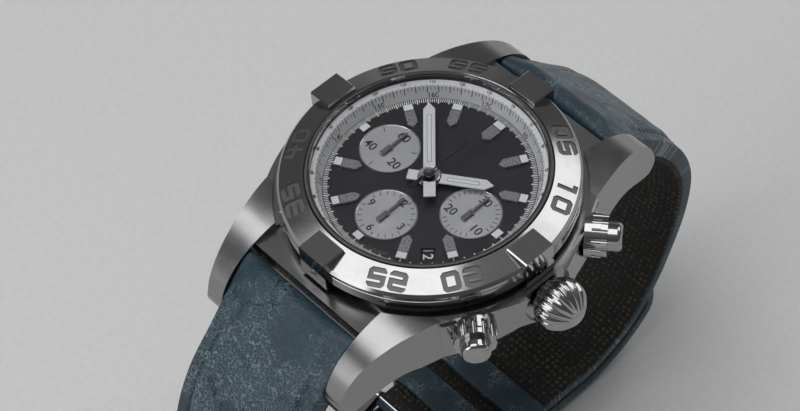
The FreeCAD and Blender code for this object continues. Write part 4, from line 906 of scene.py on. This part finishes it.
# %% Bezel finish
CONE_TOP = 3.3 * MM
CONE_SLOPE = 1.35 / 3.95
CONE_START = 17.55 * MM
sheet = Sheet("bezel_steel")
x, y, z = sheet.split(sheet.place(centre=tuple(DIAL)))
radius = (x * x + y * y).math("SQRT")
depth = CONE_TOP - (radius - CONE_START) * CONE_SLOPE - z
sunk = depth.ramp(0.03 * MM, 0.07 * MM) * depth.ramp(0.20 * MM, 0.24 * MM, 1.0, 0.0)
band = radius.ramp(17.8 * MM, 17.9 * MM) * radius.ramp(21.05 * MM, 21.1 * MM, 1.0, 0.0)
sunk = sunk * band
wipes = sheet.noise(sheet.place(), 260, 4, 0.6)
grit = sheet.noise(sheet.place(), 9000, 2, 0.7)
dress(sheet.finish(
    Base_Color=sheet.mix(sunk, sheet.mix(wipes.ramp(0.35, 0.7), STEEL, [c * 0.93 for c in STEEL]),
                         (0.16, 0.16, 0.165)),
    Metallic=1.0,
    Roughness=sunk * 0.4 + wipes.ramp(0.3, 0.75, 0.13, 0.19),
    Normal=sheet.bump(grit * sunk, 0.00002, 0.7),
), "bezel")
print("bezel numerals masked by depth")

# %% [markdown]
# ## Leather
#
# The strap is smooth calf, dyed blue. Its fine ridges are painted paler, a painted sheen, most
# of all where the strap bends near the lug, a painted highlight, and its crease lines are painted
# darker, a painted shade. Three patterns make it: a broad cloud for the dye, a fine pore grain,
# and crease lines, which are the borders of stretched cells, bent by noise and shown only in
# patches. The pattern follows the strap's own UV map (along and across, in metres), so it bends
# with the leather.

# %% Leather finishes
def leather(name, deep, painted_sheen):
    sheet = Sheet(name)
    spot = sheet.place(source="UV")
    cloud = sheet.noise(spot, 130, 4, 0.6)
    patch = sheet.noise(spot, 70, 2)
    pores = sheet.cells(spot, 3200, "F1")
    bent = sheet.node(
        "ShaderNodeVectorMath", {"operation": "ADD"},
        {0: spot, 1: sheet.node("ShaderNodeVectorMath", {"operation": "SCALE"},
                                {0: sheet.node("ShaderNodeTexNoise", {}, {
                                    "Vector": spot, "Scale": 420, "Detail": 3}, "Color"),
                                 "Scale": 0.003})})
    folds = sheet.cells(bent, 150, "DISTANCE_TO_EDGE").ramp(0.0, 0.014, 1.0, 0.0)
    folds = folds * patch.ramp(0.54, 0.62)
    ridges = sheet.cells(bent, 1900, "DISTANCE_TO_EDGE").ramp(0.0, 0.20, 1.0, 0.0)
    along = sheet.split(spot)[0]
    # Painted highlight: a pale band where the strap bends, from about 2 to 24 mm along it.
    painted_highlight_band = along.ramp(2 * MM, 8 * MM) * along.ramp(15 * MM, 24 * MM, 1.0, 0.0)
    # Patches of painted sheen: the random cloud, raised by the painted highlight band.
    sheen_patches = (cloud + painted_highlight_band * 0.14).ramp(0.46, 0.66)
    fine = ridges * (sheen_patches * 0.8 + 0.2)
    dye = sheet.mix(cloud.ramp(0.3, 0.72), deep, [c * 1.45 for c in deep])
    # Painted sheen: the fine ridges are painted paler, towards the sheen colour, most in those
    # patches.
    pale = sheet.mix(fine.ramp(0.15, 1.0, 0.0, 0.78), dye, painted_sheen)
    height = cloud * 0.5 + fine * 0.7 - folds * 1.2 + pores * 0.10
    # Painted shade: the crease lines are painted darker.
    return sheet.finish(
        Base_Color=sheet.mix(folds * 0.8, pale, [c * 0.3 for c in deep]),
        Roughness=cloud.ramp(0.3, 0.7, 0.44, 0.34) - fine * 0.06 + folds * 0.2,
        Normal=sheet.bump(height, 0.00020, 0.9),
    )


# The second colour is the painted sheen and painted highlight on the top of the strap.
BLUE_LEATHER = leather("blue_leather", (0.012, 0.036, 0.052), (0.190, 0.265, 0.295))

sheet = Sheet("cut_edge")
fibre = sheet.noise(sheet.place(), 5200, 4, 0.7)
EDGE = sheet.finish(
    Base_Color=sheet.mix(fibre.ramp(0.3, 0.7), (0.018, 0.020, 0.023), (0.060, 0.064, 0.070)),
    Roughness=0.9,
    Normal=sheet.bump(fibre, 0.00012, 0.9),
)

sheet = Sheet("lining_leather")
spot = sheet.place(source="UV")
pebble = sheet.cells(spot, 1000, "F1", jitter=0.35)
tone = sheet.noise(spot, 160, 3)
# Painted highlight and shade: the pebble tops are painted paler and the seams between them nearly
# black.
seam = pebble.ramp(0.16, 0.46)
LINING = sheet.finish(
    Base_Color=sheet.mix(seam, sheet.mix(tone.ramp(0.3, 0.7), (0.045, 0.037, 0.022),
                                         (0.080, 0.066, 0.040)), (0.006, 0.005, 0.004)),
    Roughness=0.72,
    Normal=sheet.bump(1 - seam, 0.00025, 0.8),
)
print("leather ready")

# %% [markdown]
# ## The strap
#
# A strap is a padded strip, so it is swept: a line for its outside, a thickness that shrinks from
# lug to tail, and a cross-section with a crowned top, a creased groove near each edge and a cut
# side. A smooth noise presses the crown in by up to about a fifth of a millimetre, as worn padding
# does. Both halves, the lining and the leather, come from the same sweep with different sections.

# %% Lines of the strap
LOOP = [(1.6, 0.0557), (7.6, 0.1656), (12.8, 0.2590), (16.2, 0.3607), (17.9, 0.4721),
        (17.1, 0.5984), (14.5, 0.7148), (10.7, 0.8295), (4.7, 0.9377), (-4.4, 1.0)]
BAR_Y = 25.9 * MM
BUCKLE_Y = -6.0 * MM
SHORT_LEVEL = 3.8 * MM
LONG_LEVEL = 2.3 * MM
TAIL_LEVEL = 1.2 * MM
TAIL_CORNER = [(28.93 * MM, 3.52 * MM), (35.04 * MM, 8.07 * MM), (39.39 * MM, 13.73 * MM)]


def loop_line(drop):
    return [(BAR_Y + y * MM, DIAL.z - share * drop) for y, share in LOOP]


def level_run(start, end, level, steps):
    return [(start + (end - start) * i / steps, level) for i in range(steps + 1)]


def path(points):
    """Even samples of a smooth curve through points of the side view (y, z)."""
    fine = []
    for i in range(len(points) - 1):
        a = Vector(points[max(i - 1, 0)])
        b = Vector(points[i])
        c = Vector(points[i + 1])
        d = Vector(points[min(i + 2, len(points) - 1)])
        ab, bc, cd = [max((q - p).length, 1e-6) ** 0.5 for p, q in ((a, b), (b, c), (c, d))]
        for k in range(24):
            t = k / 24
            m1, m2 = c - b, c - b
            if i:
                m1 = (c - b) + bc * ((b - a) / ab - (c - a) / (ab + bc))
            if i < len(points) - 2:
                m2 = (c - b) + bc * ((d - c) / cd - (d - b) / (bc + cd))
            h = (2 * t**3 - 3 * t**2 + 1, t**3 - 2 * t**2 + t, -2 * t**3 + 3 * t**2, t**3 - t**2)
            fine.append(b * h[0] + m1 * h[1] + c * h[2] + m2 * h[3])
    fine.append(Vector(points[-1]))
    reach = [0.0]
    for p, q in zip(fine, fine[1:]):
        reach.append(reach[-1] + (q - p).length)
    return fine, reach


def at(line, place):
    """Point and direction of a line at a distance along it."""
    fine, reach = line
    place = min(max(place, 0), reach[-1])
    low, high = 0, len(reach) - 2
    while low < high:
        i = (low + high + 1) // 2
        if reach[i] <= place:
            low = i
        else:
            high = i - 1
    i = low
    share = (place - reach[i]) / max(reach[i + 1] - reach[i], 1e-9)
    point = fine[i].lerp(fine[i + 1], share)
    ahead, behind = fine[min(i + 3, len(fine) - 1)], fine[max(i - 2, 0)]
    return point, (ahead - behind).normalized()


LUG_WIDTH, END_WIDTH = 21.8 * MM, 20.0 * MM
TAPER_LOW, TAPER_HIGH = 19.44 * MM, 56.8 * MM
LUG_THICK, END_THICK = 4.6, 2.5
THIN_FROM = 50 * MM


def strap_width(height):
    share = (height - TAPER_LOW) / (TAPER_HIGH - TAPER_LOW)
    return END_WIDTH + (LUG_WIDTH - END_WIDTH) * min(max(share, 0), 1)


def strap_thickness(place):
    return (LUG_THICK - (LUG_THICK - END_THICK) * min(1, place / THIN_FROM)) * MM


print("lines ready")


# %% Cross-sections
def ease(low, high, value):
    share = min(max((value - low) / (high - low), 0), 1)
    return share * share * (3 - 2 * share)


ACROSS = [0, 0.09, 0.18, 0.28, 0.38, 0.48, 0.57, 0.65, 0.70, 0.73, 0.755, 0.77, 0.785, 0.80,
          0.815, 0.84, 0.87, 0.91, 0.95, 0.985]


def leather_section(half_width, thick, place, free):
    """Points (across, depth below the outside) round the leather, from the middle of its top."""
    padded = thick - END_THICK * MM
    side = []
    for share in ACROSS:
        depth = (0.07 * MM + 0.42 * padded) * ease(0.60, 0.98, share)
        groove = math.exp(-((share - 0.785) / 0.026) ** 2) * 0.50 * MM
        depth += groove * ease(5 * MM, 11 * MM, place) * free
        side.append((share * half_width, depth))
    top_edge = side[-1][1] + 0.12 * MM
    low = thick - 0.70 * MM
    side += [(half_width * 0.998, top_edge + 0.10 * MM), (half_width, top_edge + 0.35 * MM),
             (half_width, (top_edge + low) / 2), (half_width, low - 0.12 * MM),
             (half_width * 0.995, low)]
    base = [(half_width * 0.6, low), (0, low)]
    right = side + base
    left = [(-x, depth) for x, depth in reversed(right[1:-1])]
    return right + left


def lining_section(half_width, thick, place, free):
    low, high = thick - 0.68 * MM, thick - 0.02 * MM
    right = [(0, low), (half_width * 0.5, low), (half_width * 0.985, low),
             (half_width * 0.992, low + 0.06 * MM), (half_width * 0.992, high - 0.2 * MM),
             (half_width * 0.975, high), (half_width * 0.5, high), (0, high)]
    return right + [(-x, depth) for x, depth in reversed(right[1:-1])]


# %% The sweep
def sweep(name, line, side, section, stations, round_start, round_end, tip=None, wrinkle=0.0):
    """A strip swept along a line of the side view; side says which way its inside lies."""
    mesh = bmesh.new()
    uv_map = mesh.loops.layers.uv.new("along_across")
    length = line[1][-1]
    rings, tags = [], []
    for place, squeeze, push in stations(length, round_start, round_end):
        point, along = at(line, place)
        inward = Vector((side * along.y, -side * along.x))
        thick = strap_thickness(place)
        half = strap_width(point.y) / 2
        if tip:
            half *= tip(place, length)
        ring = []
        points = section(half, thick, place, min(1.0, (length - place) / (6 * MM)))
        for x, depth in points:
            rumple = 0.0
            if wrinkle and depth < thick * 0.5:
                spot = Vector((x * 160, place * 240, side * 3.1))
                crumple = noise.noise(spot) + 0.5 * noise.noise(spot * 2.3)
                rumple = abs(crumple) * wrinkle * ease(0, 0.2, 1 - abs(x) / half)
            deep = thick / 2 + (depth - thick / 2) * squeeze + rumple * squeeze
            spot = point + inward * deep + along * push
            ring.append(mesh.verts.new((x, spot.x, spot.y)))
        rings.append(ring)
        tags.append((place + push, points))
    count = len(rings[0])
    for i in range(len(rings) - 1):
        for k in range(count):
            after = (k + 1) % count
            quad = (rings[i][k], rings[i][after], rings[i + 1][after], rings[i + 1][k])
            face = mesh.faces.new(quad)
            face.smooth = True
            (here, near_points), (there, far_points) = tags[i], tags[i + 1]
            ends = [(here, near_points[k][0]), (here, near_points[after][0]),
                    (there, far_points[after][0]), (there, far_points[k][0])]
            for loop, (u, v) in zip(face.loops, ends):
                loop[uv_map].uv = (u, v)
            half_width = max(p[0] for p in tags[i][1])
            middle = (tags[i][1][k][0] + tags[i][1][after][0]) / 2
            if section is leather_section and abs(middle) > half_width * 0.990:
                face.material_index = 1
    for i, place in ((0, tags[0][0]), (-1, tags[-1][0])):
        cap = mesh.faces.new(rings[i] if i else list(reversed(rings[i])))
        for loop, point in zip(cap.loops, tags[i][1] if i else list(reversed(tags[i][1]))):
            loop[uv_map].uv = (place, point[0])
    bmesh.ops.recalc_face_normals(mesh, faces=mesh.faces)
    data = bpy.data.meshes.new(name)
    mesh.to_mesh(data)
    mesh.free()
    piece = bpy.data.objects.new(name, data)
    bpy.context.scene.collection.objects.link(piece)
    return piece


def rounded_ends(step):
    """Stations along a strip: close together, with its two ends drawn in to a round nose."""
    def stations(length, round_start, round_end):
        out = []
        for k in range(7, 0, -1):
            angle = math.radians(12.5 * k)
            if round_start:
                out.append((0, math.cos(angle), -round_start * math.sin(angle)))
        count = round(length / step)
        out += [(length * i / count, 1.0, 0.0) for i in range(count + 1)]
        for k in range(1, 8):
            angle = math.radians(12.5 * k)
            if round_end:
                out.append((length, math.cos(angle), round_end * math.sin(angle)))
        return out
    return stations


def tail_tip(place, length):
    """Rounded outline of the free end."""
    left = length - place
    reach = 7.5 * MM
    return 1.0 if left > reach else max(0.30, math.sqrt(1 - ((reach - left) / reach) ** 2 * 0.92))


short_points = loop_line(61.0 * MM)[:-1] + level_run(21.5 * MM, BUCKLE_Y, SHORT_LEVEL, 6)
short_line = path(short_points)
rail_back = BUCKLE_Y - 8.2 * MM
long_points = [(-y, z) for y, z in loop_line(62.5 * MM)]
long_points += [(rail_back - 3.6 * MM, LONG_LEVEL), (rail_back - 1.8 * MM, LONG_LEVEL),
                (rail_back, LONG_LEVEL), ((rail_back + BUCKLE_Y + 1 * MM) / 2,
                                          (LONG_LEVEL + TAIL_LEVEL) / 2)]
long_points += level_run(BUCKLE_Y + 1 * MM, 21.5 * MM, TAIL_LEVEL, 7)
long_points += TAIL_CORNER
long_line = path(long_points)
print("strap lines:", round(short_line[1][-1], 4), "and", round(long_line[1][-1], 4), "m")

# %% Both halves
halves = []
for name, line, side, end_round, tip in (
    ("strap_12", short_line, 1, 1.25 * MM, None),
    ("strap_6", long_line, -1, 0.8 * MM, tail_tip),
):
    skin = sweep(name + "_leather", line, side, leather_section, rounded_ends(0.7 * MM),
                 2.25 * MM, end_round, tip, 0.22 * MM)
    dressed(skin, BLUE_LEATHER, EDGE)
    under = sweep(name + "_lining", line, side, lining_section, rounded_ends(1.4 * MM),
                  0, 0, tip)
    dressed(under, LINING)
    halves.append((skin, under))
    print(name, len(skin.data.polygons) + len(under.data.polygons), "faces")

for (skin, under), nodes in zip(halves, (("strap_leather_12", "strap_lining_12"),
                                         ("strap_leather_6", "strap_lining_6"))):
    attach(skin, "case")
    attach(under, "case")
    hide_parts(nodes[0])
    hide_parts(nodes[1])

# %% [markdown]
# ## Keepers
#
# The two leather loops that hold the tail are one strip bent round and glued. A box without its
# two ends is that strip; bevelled corners bend it, and Solidify gives it thickness, inwards.

# %% Keeper loops
def keeper_loop(name, node, body):
    low, high = (Vector(c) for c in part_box(node))
    size = high - low
    loop = block(name, tuple(size), (low + high) / 2)
    mesh = edit(loop)
    pick(loop, mesh.faces, lambda f: abs(f.normal.y) > 0.5)
    bpy.ops.mesh.delete(type="FACE")
    mesh = edit(loop, "EDGE")
    pick(loop, mesh.edges, lambda e: abs(e.verts[0].co.y - e.verts[1].co.y) > 1 * MM)
    bpy.ops.mesh.bevel(offset=1.2 * MM, segments=5)
    bpy.ops.mesh.select_all(action="SELECT")
    bpy.ops.mesh.normals_make_consistent(inside=False)
    bpy.ops.object.mode_set(mode="OBJECT")
    modify(loop, "SOLIDIFY", thickness=1.05 * MM, offset=-1, use_even_offset=True)
    modify(loop, "BEVEL", width=0.25 * MM, segments=3, limit_method="ANGLE", angle_limit=1.0)
    smooth(loop, 40)
    bpy.ops.object.mode_set(mode="EDIT")
    bpy.ops.mesh.select_all(action="SELECT")
    bpy.ops.uv.cube_project(cube_size=1.0, scale_to_bounds=False)
    bpy.ops.object.mode_set(mode="OBJECT")
    dressed(loop, BLUE_LEATHER)
    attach(loop, body)
    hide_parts(node)
    return loop


fixed_loop = keeper_loop("fixed_loop", "fixed_keeper", "case")
free_loop = keeper_loop("free_loop", "free_keeper", "free_keeper")
print("keepers:", len(fixed_loop.data.polygons) + len(free_loop.data.polygons), "faces")


# %% [markdown]
# ## Inside the case
#
# The movement, its brass and its seals show only when the watch is taken apart, but they get real
# finishes too. Plates are rhodium plated over a sandy grain, with wide polished stripes on the
# winding rotor. Brass wheels are turned. Seals are rubber, dull and faintly dusty.

# %% Movement plates
def plated(name, tint, stripe=0.0):
    """Rhodium plate: a sandy grain, with broad diagonal stripes where they are asked for."""
    sheet = Sheet(name)
    grain = sheet.noise(sheet.place(), 6500, 3, 0.7)
    x = sheet.split(sheet.place(turn=(0, 0, math.radians(35))))[0]
    wave = (x * (2 * math.pi / (2.4 * MM))).math("SINE") * 0.5 + 0.5
    band = wave * stripe
    return sheet.finish(
        Base_Color=sheet.mix(grain.ramp(0.3, 0.7), [c * 0.88 for c in tint], tint),
        Metallic=1.0,
        Roughness=grain.ramp(0.3, 0.7, 0.26, 0.38) - band * 0.14,
        Normal=sheet.bump(grain * 0.4 + band, 0.00001, 0.6),
    )


dress(plated("rhodium_plate", (0.52, 0.52, 0.50)), "main_plate", "movement_ring", "train_bridge",
      "balance_cock")
dress(plated("striped_rotor", (0.50, 0.50, 0.49), 1.0), "rotor")

# %% Brass, small steel and rubber
BRASS = polished("brass", (0.60, 0.43, 0.19), 0.22)
dress(BRASS, "hour_wheel", "mainspring_barrel", "balance_wheel")

SMALL_STEEL = polished("small_steel", (0.40, 0.40, 0.41), 0.18)
dress(SMALL_STEEL, "bezel_click_spring", "start_pusher_spring", "reset_pusher_spring",
      "winding_stem", "winding_pinion", "chrono_seconds_arbor", "small_seconds_arbor",
      "chrono_hours_arbor", "chrono_minutes_arbor", "cannon_pinion", "crown_tube",
      "rotor_bearing")
dress(polished("blued_screws", (0.03, 0.05, 0.16), 0.16), "movement_screws")

sheet = Sheet("seal_rubber")
dust = sheet.noise(sheet.place(), 2400, 4, 0.65)
dress(sheet.finish(
    Base_Color=sheet.mix(dust.ramp(0.35, 0.75), (0.014, 0.014, 0.015), (0.035, 0.035, 0.036)),
    Roughness=dust.ramp(0.3, 0.7, 0.55, 0.75),
    Normal=sheet.bump(dust, 0.00002, 0.4),
), "case_back_gasket", "bezel_gasket", "crystal_gasket", "crown_gasket", "pusher_gaskets")
print("inner finishes ready")

# %% [markdown]
# ## Crown
#
# The crown is an onion of steel whose flutes run over the dome to its tip. It starts as a short
# cylinder. Its outer face is extruded and resized along the onion's outline, its inner face is
# inset and pushed in for the tube and the stem, and every sixth row of points is drawn in for a
# flute.

# %% Fluted crown
ONION = [(1.0, 3.45), (1.6, 3.76), (2.3, 3.93), (3.0, 3.95), (3.8, 3.74), (4.6, 3.28), (5.2, 2.68),
         (5.75, 1.95), (6.15, 1.35), (6.34, 0.85), (6.4, 0.45)]
BASE_RADIUS, SHOULDER_RADIUS, BASE_DEPTH = 2.75, 3.0, 0.5
CROWN_ROWS = 96
FLUTE_ROWS = 6
crown_low, crown_high = (Vector(c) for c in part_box("crown"))
axis_point = (crown_low + crown_high) / 2
fresh()
bpy.ops.mesh.primitive_cylinder_add(
    vertices=CROWN_ROWS, radius=BASE_RADIUS * MM, depth=BASE_DEPTH * MM,
    rotation=(0, math.pi / 2, 0),
    location=(crown_low.x + BASE_DEPTH / 2 * MM, axis_point.y, axis_point.z))
onion = settle(bpy.context.object)
onion.name = "onion_crown"
mesh = edit(onion)
pick(onion, mesh.faces, lambda f: f.normal.x > 0.9)
widen = SHOULDER_RADIUS / BASE_RADIUS
bpy.ops.transform.resize(value=(1, widen, widen))
reach, radius = BASE_DEPTH, SHOULDER_RADIUS
for next_reach, next_radius in ONION:
    bpy.ops.mesh.extrude_region_move(
        TRANSFORM_OT_translate={"value": ((next_reach - reach) * MM, 0, 0)})
    bpy.ops.transform.resize(value=(1, next_radius / radius, next_radius / radius))
    reach, radius = next_reach, next_radius

mesh = edit(onion)
base_level = crown_low.x + 0.1 * MM
pick(onion, mesh.faces,
     lambda f: f.normal.x < -0.9 and f.calc_center_median().x < base_level)
for inset, depth in ((0.75 * MM, 3.2 * MM), (1.38 * MM, 1.2 * MM)):
    bpy.ops.mesh.inset(thickness=inset)
    bpy.ops.mesh.extrude_region_move(TRANSFORM_OT_translate={"value": (depth, 0, 0)})


def flute_row(point):
    """Row number of a point within its flute, or None inside the bore and at the ends."""
    y, z = point.y - axis_point.y, point.z - axis_point.z
    along = point.x - crown_low.x
    bored = math.hypot(y, z) < 2.05 * MM and along < 4.5 * MM
    if bored or along < 0.7 * MM or along > 6.3 * MM:
        return None
    return round(math.atan2(y, z) / (2 * math.pi) * CROWN_ROWS) % FLUTE_ROWS


for rows, drawn_in in (((0,), 0.88), ((1, FLUTE_ROWS - 1), 0.935)):
    mesh = edit(onion, "VERT")
    pick(onion, mesh.verts, lambda v: flute_row(v.co) in rows)
    bpy.ops.transform.resize(value=(1, drawn_in, drawn_in), center_override=axis_point)
bpy.ops.object.mode_set(mode="OBJECT")
modify(onion, "SUBSURF", levels=1, render_levels=1)
smooth(onion, 38)
dressed(onion, POLISHED)
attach(onion, "crown")
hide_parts("crown")
print("crown:", len(onion.data.polygons), "faces")

# %% [markdown]
# ## Pusher springs
#
# Each pusher rests on a stack of thin slit rings. They close up as the pusher goes in, which one
# solid can't do. A merged copy of each spring takes its place and its height along the push is
# printed; the copy does not flatten.

# %% Pusher springs
def closing_spring(name, node, joint):
    spring = bpy.data.objects.new(name, frame["nodes"][node].data.copy())
    bpy.context.scene.collection.objects.link(spring)
    edit(spring, "VERT")
    bpy.ops.mesh.select_all(action="SELECT")
    bpy.ops.mesh.remove_doubles(threshold=0.001 * MM)
    bpy.ops.object.mode_set(mode="OBJECT")
    inward = Vector(next(j["axis"] for j in frame["joints"] if j["name"] == joint))
    depths = [v.co.dot(inward) for v in spring.data.vertices]
    height = max(depths) - min(depths)
    dressed(spring, SMALL_STEEL)
    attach(spring, "case")
    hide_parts(node)
    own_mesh(spring)
    return round(height / MM, 2)


print("spring heights:", closing_spring("start_coil", "start_pusher_spring", "start_push"),
      closing_spring("reset_coil", "reset_pusher_spring", "reset_push"), "mm")
